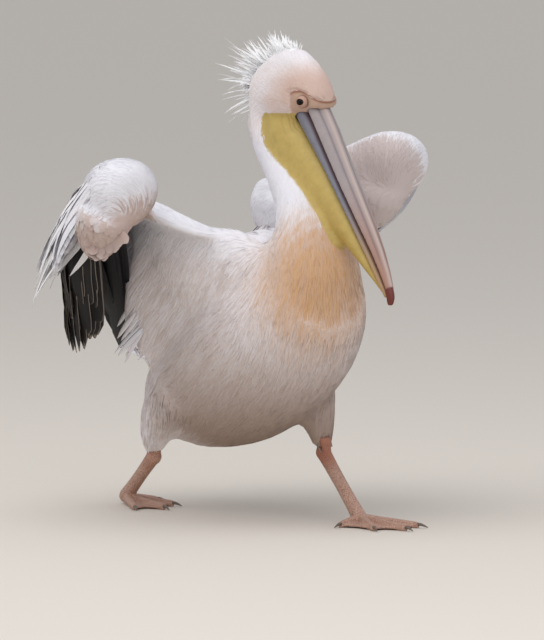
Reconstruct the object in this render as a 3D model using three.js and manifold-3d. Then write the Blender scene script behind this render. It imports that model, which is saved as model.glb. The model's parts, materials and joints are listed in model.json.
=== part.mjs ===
// A great white pelican (Pelecanus onocrotalus), life size, in mid stride with its
// folded wings lifted clear of the body. Millimetres, +Z up, the bird faces +X and
// its left side is +Y. The finished group is moved so that the origin is on the floor,
// under the middle of the model's box.
import * as THREE from "three";
import { mergeVertices } from "three/addons/utils/BufferGeometryUtils.js";
import Module from "manifold-3d";

const kernel = await Module();
kernel.setup();

const CLEARANCE = 0.35; // left between pieces that touch
const RIGHT = -1;
const LEFT = 1;

// ---------------------------------------------------------------- small helpers

const vec = (x, y, z) => new THREE.Vector3(x, y, z);
const mix = (a, b, t) => a + (b - a) * t;
const between = (a, b, t) => a.clone().lerp(b, t);
const onSide = (p, side) => vec(p.x, p.y * side, p.z);
const colour = (hex, roughness) =>
  new THREE.MeshStandardMaterial({ color: hex, roughness, metalness: 0 });

// A smooth value through evenly spaced keys, each a number or a list of numbers.
function through(keys, t) {
  const at = Math.min(Math.max(t, 0), 1) * (keys.length - 1);
  const i = Math.min(Math.floor(at), keys.length - 2);
  const f = at - i;
  const pick = (n) => keys[Math.min(Math.max(n, 0), keys.length - 1)];
  const curve = (a, b, c, d) =>
    b + 0.5 * f * (c - a + f * (2 * a - 5 * b + 4 * c - d + f * (3 * (b - c) + d - a)));
  const [a, b, c, d] = [pick(i - 1), pick(i), pick(i + 1), pick(i + 2)];
  return Array.isArray(b) ? b.map((_, n) => curve(a[n], b[n], c[n], d[n])) : curve(a, b, c, d);
}

// A closed three.js geometry as a solid, turned outwards where a mirror turned it in.
function solidOf(geometry) {
  geometry.deleteAttribute("normal");
  geometry.deleteAttribute("uv");
  const merged = mergeVertices(geometry, 1e-3);
  const corners = [];
  const index = merged.index.array;
  for (let i = 0; i < index.length; i += 3) {
    const [a, b, c] = [index[i], index[i + 1], index[i + 2]];
    if (a !== b && b !== c && c !== a) corners.push(a, b, c);
  }
  const make = (triangles) =>
    new kernel.Manifold(
      new kernel.Mesh({
        numProp: 3,
        vertProperties: new Float32Array(merged.attributes.position.array),
        triVerts: new Uint32Array(triangles),
      }),
    );
  const made = make(corners);
  if (made.volume() >= 0) return made;
  for (let i = 0; i < corners.length; i += 3)
    [corners[i + 1], corners[i + 2]] = [corners[i + 2], corners[i + 1]];
  return make(corners);
}

function geometryOf(solid) {
  const mesh = solid.getMesh();
  const points = new Float32Array(mesh.numVert * 3);
  for (let i = 0; i < mesh.numVert; i++)
    points.set(mesh.vertProperties.subarray(i * mesh.numProp, i * mesh.numProp + 3), i * 3);
  return new THREE.BufferGeometry()
    .setAttribute("position", new THREE.BufferAttribute(points, 3))
    .setIndex(new THREE.BufferAttribute(new Uint32Array(mesh.triVerts), 1));
}

const joined = (solids) => solids.reduce((all, one) => all.add(one));
const without = (solid, ...cutters) => cutters.reduce((left, one) => left.subtract(one), solid);

// The largest body of a solid, so that a cut leaves no loose slivers.
function mainBody(solid) {
  const bodies = solid.decompose();
  return bodies.reduce((best, one) => (one.volume() > best.volume() ? one : best));
}

// A limb or trunk: oval sections on a smooth centre line, from a sphere's grid of points.
// keys hold [x, y, z, half width, rise above the line, drop below it]; sideways is the
// direction of the width. grow swells the whole form.
function flesh(keys, { sideways, sides = 16, steps = 14, grow = 0, power = 2, mirror = 1 }) {
  const grid = new THREE.SphereGeometry(1, sides, steps);
  const place = grid.attributes.position;
  const { uv } = grid.attributes;
  const side = vec(...sideways).normalize();
  for (let i = 0; i < place.count; i++) {
    const row = Math.round((1 - uv.getY(i)) * steps);
    const t = Math.min(Math.max((row - 1) / (steps - 2), 0), 1);
    const [x, y, z, width, rise, drop] = through(keys, t);
    const ahead = vec(...through(keys, t + 0.01).slice(0, 3));
    const behind = vec(...through(keys, t - 0.01).slice(0, 3));
    const along = ahead.sub(behind).normalize();
    const up = along.clone().cross(side).normalize();
    const flat = up.clone().cross(along).normalize();
    const isEnd = row === 0 || row === steps;
    const turn = uv.getX(i) * Math.PI * 2;
    const [c, s] = [Math.cos(turn), Math.sin(turn)];
    const round = (value) => Math.sign(value) * Math.abs(value) ** (2 / power);
    const reach = isEnd ? 0 : 1;
    const high = (s > 0 ? rise : drop) + grow;
    const point = vec(x, y, z)
      .addScaledVector(flat, reach * (width + grow) * round(c))
      .addScaledVector(up, reach * high * round(s));
    if (isEnd) point.addScaledVector(along, (row === 0 ? -1 : 1) * (grow + 0.2 * Math.min(width, rise)));
    place.setXYZ(i, point.x, point.y * mirror, point.z);
  }
  return solidOf(grid);
}

// A row of overlapping vanes as one sheet with a step at each overlap and a notch
// between tips. root and tip are functions of the place across the row, 0 to 1.
function vanes({
  count, root, tip, thick = 2, step = 1.4, notch = 0.07, rows = 2, bend = 0, grow = 0, mirror = 1,
}) {
  const box = new THREE.BoxGeometry(1, 1, 1, count * 2, 1, rows);
  const place = box.attributes.position;
  const stretch = 1 + grow / 40; // a swollen copy also reaches past the ends
  for (let i = 0; i < place.count; i++) {
    const column = Math.round((place.getX(i) + 0.5) * count * 2);
    const isShaft = column % 2 === 1;
    const across = ((Math.floor(column / 2) + (isShaft ? 0.6 : 0)) / count - 0.5) * stretch + 0.5;
    const along = (place.getZ(i) * stretch + 0.5) * (isShaft ? 1 : 1 - notch);
    const spread = (edge) => edge(across + 0.05).sub(edge(across - 0.05));
    const wide = spread(root).add(spread(tip));
    const out = tip(across).sub(root(across)).cross(wide).normalize();
    const lift = (isShaft ? step : 0) + bend * Math.sin(Math.PI * along);
    const point = between(root(across), tip(across), along);
    point.addScaledVector(out, lift + place.getY(i) * (thick + 2 * grow));
    place.setXYZ(i, point.x, point.y * mirror, point.z);
  }
  return solidOf(box);
}

// A quadratic curve from a to c, drawn towards b.
const bowed = (a, b, c, t) => between(between(a, b, t), between(b, c, t), t);

// One long pointed feather.
function plume({ root, tip, face, width, thick = 1.6, rows = 2 }) {
  const box = new THREE.BoxGeometry(1, 1, 1, 1, 1, rows);
  const place = box.attributes.position;
  const along = tip.clone().sub(root).normalize();
  const wide = along.clone().cross(face).normalize();
  const out = wide.clone().cross(along).normalize();
  for (let i = 0; i < place.count; i++) {
    const t = place.getZ(i) + 0.5;
    const half = width * (1 - 0.85 * t ** 1.5);
    const point = between(root, tip, t)
      .addScaledVector(wide, place.getX(i) * half)
      .addScaledVector(out, place.getY(i) * thick * (1 - 0.5 * t));
    place.setXYZ(i, point.x, point.y, point.z);
  }
  return solidOf(box);
}

const parts = new Map(); // name -> { solid, material }
const put = (name, solid, material) => parts.set(name, { solid, material });

const plumage = colour("#efe3dc", 0.9);
const crestWhite = colour("#f6f2ef", 0.9);
const breastGold = colour("#dcae83", 0.9);
const underwing = colour("#c9aa9a", 0.9);
const quillBlack = colour("#24262b", 0.75);
const quillGrey = colour("#5b5654", 0.8);
const faceSkin = colour("#c79f8c", 0.6);
const lidSkin = colour("#a8785e", 0.6);
const billHorn = colour("#a8999b", 0.45);
const mandibleHorn = colour("#6d7690", 0.45);
const nailRed = colour("#a8473c", 0.4);
const pouchSkin = colour("#c9ae4d", 0.55);
const iris = colour("#2a1512", 0.1);
const legSkin = colour("#c39a80", 0.6);
const hockSkin = colour("#c47a4c", 0.6);
const footSkin = colour("#bf9a80", 0.6);
const clawHorn = colour("#4a4038", 0.4);

// ---------------------------------------------------------------- trunk and neck

const FLOOR = -12; // level of the soles in the drawing's own frame
const TRUNK = [
  [-268, 0, 210, 26, 15, 30],
  [-232, 0, 188, 84, 46, 62],
  [-172, 0, 190, 118, 94, 100],
  [-90, 0, 228, 138, 124, 136],
  [0, 0, 274, 144, 142, 150],
  [82, 0, 322, 141, 140, 150],
  [155, 0, 368, 122, 118, 132],
  [215, 0, 410, 86, 84, 96],
];
const NECK = [
  [176, 0, 350, 84, 70, 86],
  [180, 0, 405, 94, 88, 88],
  [178, 0, 458, 82, 82, 78],
  [172, 2, 515, 56, 56, 50],
  [120, 2, 580, 43, 43, 42],
  [64, 2, 640, 39, 42, 40],
  [40, 2, 690, 36, 44, 36],
  [64, 2, 716, 30, 38, 32],
];
const ACROSS = [0, 1, 0];
const trunkOf = (grow) => flesh(TRUNK, { sideways: ACROSS, sides: 20, steps: 12, grow });
const neckOf = (grow) => flesh(NECK, { sideways: ACROSS, sides: 14, steps: 12, grow });

// ---------------------------------------------------------------- head and bill

const HEAD_TURN = THREE.MathUtils.degToRad(8); // towards the bird's left
const HEAD_PIVOT = 40; // how far ahead of the frame's middle the neck turns
// forward, leftward and upward distances of the turned head to the common frame
const headPoint = (ahead, aside, height) =>
  vec(
    HEAD_PIVOT + ahead * Math.cos(HEAD_TURN) - aside * Math.sin(HEAD_TURN),
    ahead * Math.sin(HEAD_TURN) + aside * Math.cos(HEAD_TURN),
    height,
  );
const HEAD_SIDE = [-Math.sin(HEAD_TURN), Math.cos(HEAD_TURN), 0];
const headKeys = (rows) => rows.map(([a, h, ...oval]) => [...headPoint(a, 0, h).toArray(), ...oval]);

const HEAD = [
  [-20, 706, 26, 44, 42],
  [14, 714, 36, 68, 56],
  [55, 718, 41, 84, 58],
  [95, 720, 40, 84, 48],
  [127, 719, 35, 60, 36],
  [149, 715, 29, 31, 27],
  [162, 711, 18, 13, 18],
];
const headOf = (grow) => flesh(headKeys(HEAD), { sideways: HEAD_SIDE, sides: 14, steps: 10, grow });

const BILL_TIP = [331, 383];
const BILL_PITCH = THREE.MathUtils.degToRad(57.4); // below level
// back from the tip, and towards the culmen, to forward and up in the head's frame
const billSpot = (back, dorsal) => [
  BILL_TIP[0] - back * Math.cos(BILL_PITCH) + dorsal * Math.sin(BILL_PITCH),
  BILL_TIP[1] + back * Math.sin(BILL_PITCH) + dorsal * Math.cos(BILL_PITCH),
];
const billKeys = (rows) =>
  headKeys(rows.map(([back, dorsal, ...oval]) => [...billSpot(back, dorsal), ...oval]));

const MAXILLA = [
  [392, 6, 22, 16, 10],
  [345, 10, 25, 16, 7],
  [290, 10, 24, 15, 6],
  [220, 11, 23, 12, 5],
  [150, 13, 20, 10, 4.5],
  [85, 13, 15, 8, 4],
  [35, 8, 10, 6, 4],
  [10, 2, 6, 5, 4],
];
const NAIL = [
  [26, 5, 6.5, 6, 5],
  [14, 2, 7.5, 7.5, 6],
  [6, -3, 6.5, 7, 6],
  [0, -8, 4, 5, 4],
];
const MANDIBLE = [
  [401, -18, 22, 14, 21],
  [345, -11, 25, 12, 19],
  [290, -7, 25, 9, 13],
  [220, -3, 24, 7, 9],
  [150, 0, 21.5, 6, 7],
  [85, 0, 16, 6, 6.5],
  [35, -3, 10.5, 5, 5],
  [14, -6, 6, 3, 4],
];
const POUCH = [
  [424, -78, 28, 38, 46],
  [374, -78, 39, 46, 64],
  [312, -70, 37, 48, 64],
  [260, -53, 33, 43, 54],
  [210, -38, 29, 33, 39],
  [150, -24, 24, 22, 28],
  [90, -14, 17, 12, 17],
  [45, -9, 10, 6, 8],
  [18, -9, 5, 3, 3],
];
const billPiece = (rows, options) => (grow) =>
  flesh(billKeys(rows), { sideways: HEAD_SIDE, grow, ...options });
const maxillaOf = billPiece(MAXILLA, { sides: 10, steps: 12, power: 1.7 });
const nailOf = billPiece(NAIL, { sides: 10, steps: 6 });
const mandibleOf = billPiece(MANDIBLE, { sides: 10, steps: 12, power: 2.3 });
const pouchOf = billPiece(POUCH, { sides: 12, steps: 10 });

const EYE = { ahead: 133, aside: 32, height: 714, radius: 8.5, lid: 10.5 };
const ball = (centre, radii, sides = 12, steps = 8) => {
  const grid = new THREE.SphereGeometry(1, sides, steps);
  grid.scale(...radii).translate(centre.x, centre.y, centre.z);
  return solidOf(grid);
};

const head = headOf(0);
const headGrown = headOf(CLEARANCE);
const maxillaGrown = maxillaOf(CLEARANCE);
const mandibleGrown = mandibleOf(CLEARANCE);
const pouchGrown = pouchOf(CLEARANCE);
const nailGrown = nailOf(CLEARANCE);
const eyes = [RIGHT, LEFT].map((side) => headPoint(EYE.ahead, EYE.aside * side, EYE.height));
// the bare face: a low oval of skin from the eye to the root of the bill
const faceZone = (side, grow) =>
  ball(headPoint(148, 45 * side, 707), [40 + grow, 28 + grow, 25 + grow], 12, 8);

let headLeft = without(head, maxillaGrown, mandibleGrown, pouchGrown);
[RIGHT, LEFT].forEach((side, i) => {
  const name = side === RIGHT ? "right" : "left";
  const eye = ball(eyes[i], [EYE.radius, EYE.radius, EYE.radius], 12, 6);
  const socket = ball(eyes[i], Array(3).fill(EYE.radius + CLEARANCE), 12, 6);
  const lidBall = ball(eyes[i], [EYE.lid + 2, EYE.lid, EYE.lid], 10, 6);
  const opening = ball(eyes[i].clone().add(vec(0, side * 8, 0)), [8, 9, 6.2], 10, 6);
  const lidSolid = without(lidBall, socket, opening, maxillaGrown, mandibleGrown);
  const lidRoom = ball(eyes[i], [EYE.lid + 2 + CLEARANCE, EYE.lid + CLEARANCE, EYE.lid + CLEARANCE], 10, 6);
  const face = without(headLeft.intersect(faceZone(side, 0)), lidRoom);
  put(`eye_${name}`, eye, iris);
  put(`eyelids_${name}`, mainBody(lidSolid), lidSkin);
  put(`face_${name}`, mainBody(face), faceSkin);
  headLeft = without(headLeft, faceZone(side, CLEARANCE), lidRoom);
});
put("head", mainBody(headLeft), plumage);
put("bill_upper", mainBody(without(maxillaOf(0), nailGrown)), billHorn);
put("bill_nail", nailOf(0), nailRed);
put("bill_lower", mainBody(without(mandibleOf(0), maxillaGrown, nailGrown)), mandibleHorn);
put("pouch", mainBody(without(pouchOf(0), maxillaGrown, mandibleGrown, nailGrown)), pouchSkin);

// crest: a shaggy cap on the crown and nape with long thin plumes fanned over it
const CREST = { count: 14, cap: 10, width: 22, thick: 5, splay: 16, uneven: 0.12 };
// ahead and height where the plumes leave the skull and where the longest end,
// from the forehead back to the nape
const CREST_ROOTS = [[98, 790], [62, 790], [14, 768], [-4, 744], [-4, 720]];
const CREST_TIPS = [[88, 822], [50, 838], [-44, 832], [-112, 788], [-84, 742]];
const capZone = ball(headPoint(8, 0, 800), [98, 60, 78], 14, 8);
const crestPlumes = Array.from({ length: CREST.count }, (_, i) => {
  const t = i / (CREST.count - 1);
  const [rootAhead, rootHeight] = through(CREST_ROOTS, t);
  const [tipAhead, tipHeight] = through(CREST_TIPS, t);
  const share = 1 - CREST.uneven * (i % 3);
  const lean = CREST.splay * Math.sin(i * 2.4);
  return plume({
    root: headPoint(rootAhead, lean * 0.4, rootHeight),
    tip: headPoint(mix(rootAhead, tipAhead, share), lean, mix(rootHeight, tipHeight, share)),
    face: vec(0, 1, 0),
    width: CREST.width,
    thick: CREST.thick,
  });
});
const crest = joined([headOf(CREST.cap).intersect(capZone), ...crestPlumes]);
put("crest", mainBody(without(crest, headGrown, neckOf(CLEARANCE))), crestWhite);

// ---------------------------------------------------------------- wings

// drawn for the left wing and mirrored; the bird carries its right wing a little lower
// and further out
const WRIST = { [RIGHT]: vec(65, 299, 569), [LEFT]: vec(65, 253, 597) };
const OUTWARD = [-0.5, 0.86, 0];
const ARM = [
  [-205, 142, 520, 30, 32, 50],
  [-120, 140, 504, 30, 36, 66],
  [-40, 135, 480, 34, 40, 100],
  [40, 116, 450, 42, 50, 112],
  [105, 84, 426, 44, 72, 92],
  [150, 58, 388, 24, 40, 50],
];
const forearmKeys = ({ y, z }) => [
  [-208, 138, 532, 22, 26, 28],
  [-130, mix(140, y, 0.25), 540, 34, 36, 44],
  [-40, mix(140, y, 0.62), mix(540, z, 0.5), 52, 46, 58],
  [28, mix(140, y, 0.93), z - 2, 64, 54, 68],
  [70, y, z - 2, 64, 56, 68],
  [100, y + 4, z - 8, 42, 40, 44],
];
const HAND_SHIFT = { [RIGHT]: 26, [LEFT]: -22 }; // the far hand is folded further in
const handKeys = ({ y, z }) => [
  [52, y, z - 34, 50, 52, 52],
  [34, y, z - 66, 46, 48, 52],
  [12, y - 6, z - 94, 34, 34, 42],
  [-6, y - 12, z - 112, 16, 16, 24],
];

const grownArms = [];
const grownAxillaries = {};
for (const side of [RIGHT, LEFT]) {
  const name = side === RIGHT ? "right" : "left";
  const wrist = WRIST[side];
  const at = (x, y, z) => vec(x, wrist.y + y, wrist.z + z);
  const shaped = (keys, sideways, detail) => (grow) =>
    flesh(keys, { sideways, grow, mirror: side, ...detail });
  const arm = shaped(ARM, ACROSS, { sides: 12, steps: 9 });
  const forearm = shaped(forearmKeys(wrist), OUTWARD, { sides: 14, steps: 10 });
  const hand = shaped(handKeys(at(0, HAND_SHIFT[side], 0)), ACROSS, { sides: 12, steps: 6 });
  const row = (options) => (grow) => vanes({ grow, mirror: side, ...options });
  const primaries = row({
    count: 7,
    root: (a) => between(at(20, -35, -70), at(-36, 34, -78), a),
    tip: (a) => between(vec(-345, 53, 243), vec(-262, 128, 322), a),
    thick: 2.4,
  });
  const secondaries = row({
    count: 10,
    root: (a) => bowed(at(-30, 4, -72), at(-80, 66, -44), vec(-190, 165, 512), a),
    tip: (a) => bowed(at(-196, -104, -266), at(-256, -70, -344), vec(-330, 178, 322), a),
    thick: 2.6,
    rows: 5,
  });
  const coverts = row({
    count: 9,
    root: (a) => bowed(at(92, 22, -26), at(50, 82, 24), vec(-175, 198, 556), a),
    tip: (a) => bowed(at(-172, 8, -186), at(-225, 14, -176), vec(-300, 222, 436), a),
    bend: 14,
    notch: 0.14,
    rows: 3,
  });
  const tertials = row({
    count: 5,
    root: (a) => between(vec(-180, 150, 538), vec(-120, 100, 500), a),
    tip: (a) => between(vec(-345, 172, 360), vec(-330, 90, 330), a),
    notch: 0.12,
  });
  const axillaries = row({
    count: 8,
    root: (a) => between(vec(78, 112, 402), vec(-124, 168, 486), a),
    tip: (a) => between(vec(-128, 124, 222), vec(-196, 146, 292), a),
    thick: 6,
    bend: 10,
    notch: 0.12,
  });
  grownAxillaries[side] = axillaries(CLEARANCE);
  const fleshGrown = [arm, forearm, hand].map((make) => make(CLEARANCE));
  put(`upper_arm_${name}`, mainBody(without(arm(0), trunkOf(CLEARANCE), neckOf(CLEARANCE))), plumage);
  put(`forearm_${name}`, mainBody(without(forearm(0), fleshGrown[0])), plumage);
  put(`hand_${name}`, mainBody(without(hand(0), fleshGrown[0], fleshGrown[1])), underwing);
  // the fold of skin and feather from the shoulder to the wrist, ahead of the arm
  const patagium = row({
    count: 5,
    root: (a) => bowed(at(4, -62, -30), vec(108, mix(wrist.y, 110, 0.62), 474), vec(106, 88, 484), a),
    tip: (a) => bowed(at(-120, -52, -34), vec(-190, 150, 530), vec(10, 122, 462), a),
    thick: 16,
    step: 0,
    notch: 0,
    rows: 3,
  });
  const patagiumCuts = [...fleshGrown, trunkOf(CLEARANCE), neckOf(CLEARANCE)];
  put(`patagium_${name}`, mainBody(without(patagium(0), ...patagiumCuts)), plumage);
  fleshGrown.push(patagium(CLEARANCE));
  grownArms.push(...fleshGrown);
  const solidRows = { primaries, secondaries, coverts, tertials, axillaries };
  const materials = [quillBlack, quillGrey, crestWhite, plumage, plumage];
  const placed = [];
  Object.entries(solidRows).forEach(([label, make], i) => {
    const cut = without(make(0), ...fleshGrown, trunkOf(CLEARANCE), ...placed);
    put(`${label}_${name}`, mainBody(cut), materials[i]);
    placed.push(make(2 * CLEARANCE));
  });
}

// ---------------------------------------------------------------- tail

const TAIL = { halfRoot: 26, halfTip: 52, base: -236, end: -352, rise: 50, height: 212, count: 10 };
const tailRow = (grow) =>
  vanes({
    count: TAIL.count,
    root: (a) => vec(TAIL.base, mix(-TAIL.halfRoot, TAIL.halfRoot, a), TAIL.height),
    tip: (a) => {
      const aside = 2 * a - 1;
      const long = TAIL.end + 26 * aside ** 2;
      return vec(long, TAIL.halfTip * aside, TAIL.height + TAIL.rise - 12 * aside ** 2);
    },
    thick: 3,
    grow,
  });
put("tail", mainBody(without(tailRow(0), trunkOf(CLEARANCE))), plumage);

// ---------------------------------------------------------------- legs and feet

const LEG = {
  [RIGHT]: {
    thigh: [
      [-60, 92, 212, 58, 66, 88],
      [-112, 97, 170, 50, 48, 70],
      [-152, 100, 130, 33, 29, 50],
      [-172, 97, 98, 20, 17, 27],
      [-180, 96, 84, 14, 13, 14],
    ],
    hock: vec(-176, 96, 82),
    ankle: vec(-290, 84, FLOOR + 13),
    heading: -4,
  },
  [LEFT]: {
    thigh: [
      [36, 84, 232, 50, 66, 66],
      [62, 84, 184, 38, 46, 46],
      [80, 84, 144, 27, 27, 28],
      [90, 84, 118, 18, 16, 17],
      [93, 84, 106, 14, 13, 13],
    ],
    hock: vec(92, 84, 103),
    ankle: vec(200, 88, FLOOR + 13),
    heading: 4,
  },
};
// outer, middle and inner toes and the hind toe turned in: heading and length
const TOES = [
  { turn: 27, long: 112 },
  { turn: 3, long: 124 },
  { turn: -22, long: 98 },
  { turn: -72, long: 56 },
];
const WEB = { thick: 4, lift: 2.5 };
const SLAB = 400;
const below = (level) => {
  const slab = new THREE.BoxGeometry(4 * SLAB, 4 * SLAB, SLAB);
  slab.translate(0, 0, level - SLAB / 2);
  return solidOf(slab);
};
const floorCut = below(FLOOR);
const webCut = below(FLOOR + WEB.lift + WEB.thick + CLEARANCE);

for (const side of [RIGHT, LEFT]) {
  const name = side === RIGHT ? "right" : "left";
  const { thigh, hock, ankle, heading } = LEG[side];
  const shaped = (keys, sideways, detail) => (grow) =>
    flesh(keys, { sideways, grow, mirror: side, ...detail });
  const thighOf = shaped(thigh, ACROSS, { sides: 12, steps: 8 });
  const shin = ankle.clone().sub(hock).normalize();
  const shank = hock.clone().addScaledVector(vec(0.1, 0, 1), 26);
  const hockOf = (grow) => {
    const upper = [...shank.toArray(), 11, 11, 11];
    const middle = [...hock.toArray(), 12.5, 13, 13];
    const lower = [...hock.clone().addScaledVector(shin, 18).toArray(), 10, 12, 12];
    const pair = (from, to) =>
      flesh([from, to], { sideways: ACROSS, sides: 10, steps: 4, grow, mirror: side });
    const knob = ball(onSide(hock, side), [15 + grow, 13 + grow, 15 + grow], 10, 6);
    return joined([knob, pair(upper, middle), pair(middle, lower)]);
  };
  const tarsusKeys = [0, 0.3, 0.7, 1].map((t) => {
    const swell = 1 + 0.2 * (2 * t - 1) ** 2;
    return [...between(hock, ankle, t).toArray(), 10 * swell, 11.5 * swell, 12.5 * swell];
  });
  const tarsusOf = shaped(tarsusKeys, ACROSS, { sides: 10, steps: 6 });

  const toeEnd = ({ turn, long }, share) => {
    const angle = THREE.MathUtils.degToRad(turn + heading);
    return vec(ankle.x + share * long * Math.cos(angle), ankle.y + share * long * Math.sin(angle), FLOOR);
  };
  const toeKeys = (toe) =>
    [
      [0, 12, 8, 9],
      [0.35, 9, 7.5, 8],
      [0.7, 7, 6.5, 7],
      [1, 5.5, 5, 5.5],
    ].map(([share, high, wide, deep]) => {
      const { x, y } = toeEnd(toe, share);
      return [x, y, FLOOR + high, wide, deep, deep + 1.5];
    });
  const webEdge = TOES.flatMap((toe, i) => {
    const next = TOES[i + 1];
    const end = toeEnd(toe, 0.97);
    return next ? [end, between(between(end, toeEnd(next, 0.97), 0.5), ankle, 0.16)] : [end];
  });
  const outline = new THREE.Shape([ankle, ...webEdge].map(({ x, y }) => new THREE.Vector2(x, y * side)));
  const web = new THREE.ExtrudeGeometry(outline, { depth: WEB.thick, bevelEnabled: false });
  web.translate(0, 0, FLOOR + WEB.lift);
  const knuckle = (grow) => ball(onSide(ankle, side), [14 + grow, 12 + grow, 12 + grow], 10, 6);
  const toesOf = (grow) =>
    TOES.map((toe) => flesh(toeKeys(toe), { sideways: ACROSS, sides: 6, steps: 5, grow, mirror: side }));
  const claws = TOES.map((toe) => (grow) => {
    const reach = (share) => toeEnd({ ...toe, long: toe.long + share }, 1);
    const keys = [
      [-6, 6, 3.4],
      [4, 6.5, 3.2],
      [12, 4.4, 2],
      [18, 2, 0.9],
    ].map(([share, high, size]) => {
      const { x, y } = reach(share);
      return [x, y, FLOOR + high, size * 0.8, size, size * 0.8];
    });
    return flesh(keys, { sideways: ACROSS, sides: 6, steps: 5, grow, mirror: side });
  });
  const clawsGrown = claws.map((make) => make(CLEARANCE));
  const foot = joined([solidOf(web), ...toesOf(0), knuckle(0)]);

  const legGrown = [hockOf(2 * CLEARANCE), tarsusOf(2 * CLEARANCE)];
  const thighCuts = [trunkOf(CLEARANCE), grownAxillaries[side], ...legGrown];
  put(`thigh_${name}`, mainBody(without(thighOf(0), ...thighCuts)), plumage);
  put(`hock_${name}`, hockOf(0), hockSkin);
  const tarsusCuts = [hockOf(CLEARANCE), knuckle(CLEARANCE), ...toesOf(2 * CLEARANCE), webCut];
  put(`tarsus_${name}`, mainBody(without(tarsusOf(0), ...tarsusCuts)), legSkin);
  put(`foot_${name}`, mainBody(without(foot, floorCut, ...clawsGrown)), footSkin);
  claws.forEach((make, i) => put(`claw_${name}_${i + 1}`, mainBody(without(make(0), floorCut)), clawHorn));
}

// ---------------------------------------------------------------- trunk, breast and neck

const MANTLE = [
  [-190, 0, 322, 50, 14, 40],
  [-130, 0, 380, 74, 26, 44],
  [-60, 0, 424, 84, 34, 50],
  [30, 0, 452, 84, 38, 60],
  [110, 0, 462, 66, 34, 50],
];
const mantle = flesh(MANTLE, { sideways: ACROSS, sides: 12, steps: 8 });
put("mantle", mainBody(without(mantle, trunkOf(CLEARANCE), neckOf(CLEARANCE), ...grownArms)), plumage);

const breastZone = (grow) => ball(vec(262, 0, 392), [88 + grow, 92 + grow, 96 + grow], 18, 10);
const chest = joined([trunkOf(0), neckOf(0)]).intersect(breastZone(0));
put("breast", mainBody(without(chest, pouchGrown, mandibleGrown)), breastGold);
put("trunk", mainBody(without(trunkOf(0), breastZone(CLEARANCE))), plumage);
const neckCuts = [trunkOf(CLEARANCE), headGrown, pouchGrown, mandibleGrown, breastZone(CLEARANCE)];
put("neck", mainBody(without(neckOf(0), ...neckCuts)), plumage);

// ---------------------------------------------------------------- the finished group

const group = new THREE.Group();
group.name = "great_white_pelican";
for (const [name, { solid, material }] of parts) {
  const mesh = new THREE.Mesh(geometryOf(solid), material.clone());
  mesh.name = name;
  group.add(mesh);
}
const box = new THREE.Box3().setFromObject(group);
const centre = box.getCenter(vec(0, 0, 0));
group.position.set(-centre.x, -centre.y, -box.min.z);

export default group;
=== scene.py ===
import json
from math import cos, pi, radians, sin

import bpy
import numpy as np
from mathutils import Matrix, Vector
from mathutils.bvhtree import BVHTree

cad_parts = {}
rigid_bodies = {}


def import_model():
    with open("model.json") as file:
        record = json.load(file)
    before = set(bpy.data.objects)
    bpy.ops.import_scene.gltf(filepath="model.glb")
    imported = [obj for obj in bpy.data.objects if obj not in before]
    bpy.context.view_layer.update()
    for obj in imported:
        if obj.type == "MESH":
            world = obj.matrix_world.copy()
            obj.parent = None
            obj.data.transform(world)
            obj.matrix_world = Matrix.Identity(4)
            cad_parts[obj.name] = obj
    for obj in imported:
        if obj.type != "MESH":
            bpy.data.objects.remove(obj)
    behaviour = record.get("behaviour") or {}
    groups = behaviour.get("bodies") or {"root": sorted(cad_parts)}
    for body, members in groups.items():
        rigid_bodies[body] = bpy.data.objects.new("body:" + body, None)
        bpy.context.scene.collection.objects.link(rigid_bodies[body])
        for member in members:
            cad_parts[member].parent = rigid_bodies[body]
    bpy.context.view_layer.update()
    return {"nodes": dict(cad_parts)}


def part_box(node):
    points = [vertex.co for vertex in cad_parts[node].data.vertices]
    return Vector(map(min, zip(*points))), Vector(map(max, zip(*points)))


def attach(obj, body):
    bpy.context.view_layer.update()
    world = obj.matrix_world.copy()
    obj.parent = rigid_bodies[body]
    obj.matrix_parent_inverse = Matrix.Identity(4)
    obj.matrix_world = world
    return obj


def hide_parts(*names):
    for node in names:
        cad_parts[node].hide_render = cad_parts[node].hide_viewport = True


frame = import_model()        # the pelican's solids, in metres, standing on z = 0
rng = np.random.default_rng(41)


# Small tools

def colour(hexValue):
    parts = [int(hexValue[i:i + 2], 16) / 255 for i in (1, 3, 5)]
    linear = [c / 12.92 if c <= 0.04045 else ((c + 0.055) / 1.055) ** 2.4 for c in parts]
    return (*linear, 1.0)


def setInputs(tree, shaderNode, inputs):   # each input takes a value, or a link from another node
    for socket, value in inputs.items():
        if isinstance(value, bpy.types.NodeSocket):
            tree.links.new(value, shaderNode.inputs[socket])
        else:
            shaderNode.inputs[socket].default_value = value


def addNode(tree, kind, inputs=None, **settings):
    added = tree.nodes.new("ShaderNode" + kind)
    for name, value in settings.items():
        setattr(added, name, value)
    setInputs(tree, added, inputs or {})
    return added


def startMaterial(name):
    material = bpy.data.materials.new(name)
    material.use_nodes = True
    return material, material.node_tree, material.node_tree.nodes["Principled BSDF"]


def layTints(tree, base, tints):   # each tint covers the base as far as its painted share says
    for key, tint in tints:
        share = addNode(tree, "Attribute", attribute_name=key).outputs["Fac"]
        base = addNode(tree, "Mix", {0: share, 6: base, 7: colour(tint)}, data_type="RGBA").outputs[2]
    return base


def unit(vectors):
    vectors = np.asarray(vectors, float)
    return vectors / np.maximum(np.linalg.norm(vectors, axis=-1, keepdims=True), 1e-9)


def ramp(values, start, end):   # 0 before start, 1 after end, smooth between
    share = np.clip((np.asarray(values, float) - start) / (end - start), 0, 1)
    return share * share * (3 - 2 * share)


def ripple(places, size, seed):   # a soft wandering value, about -1 to 1, that changes over `size` metres
    turns = np.random.default_rng(seed)
    total = np.zeros(len(places))
    for _ in range(5):
        heading = unit(turns.normal(size=3)) * 2 * pi / size * turns.uniform(0.6, 1.5)
        total += np.sin(places @ heading + turns.uniform(0, 2 * pi))
    return total / 2.6


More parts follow.
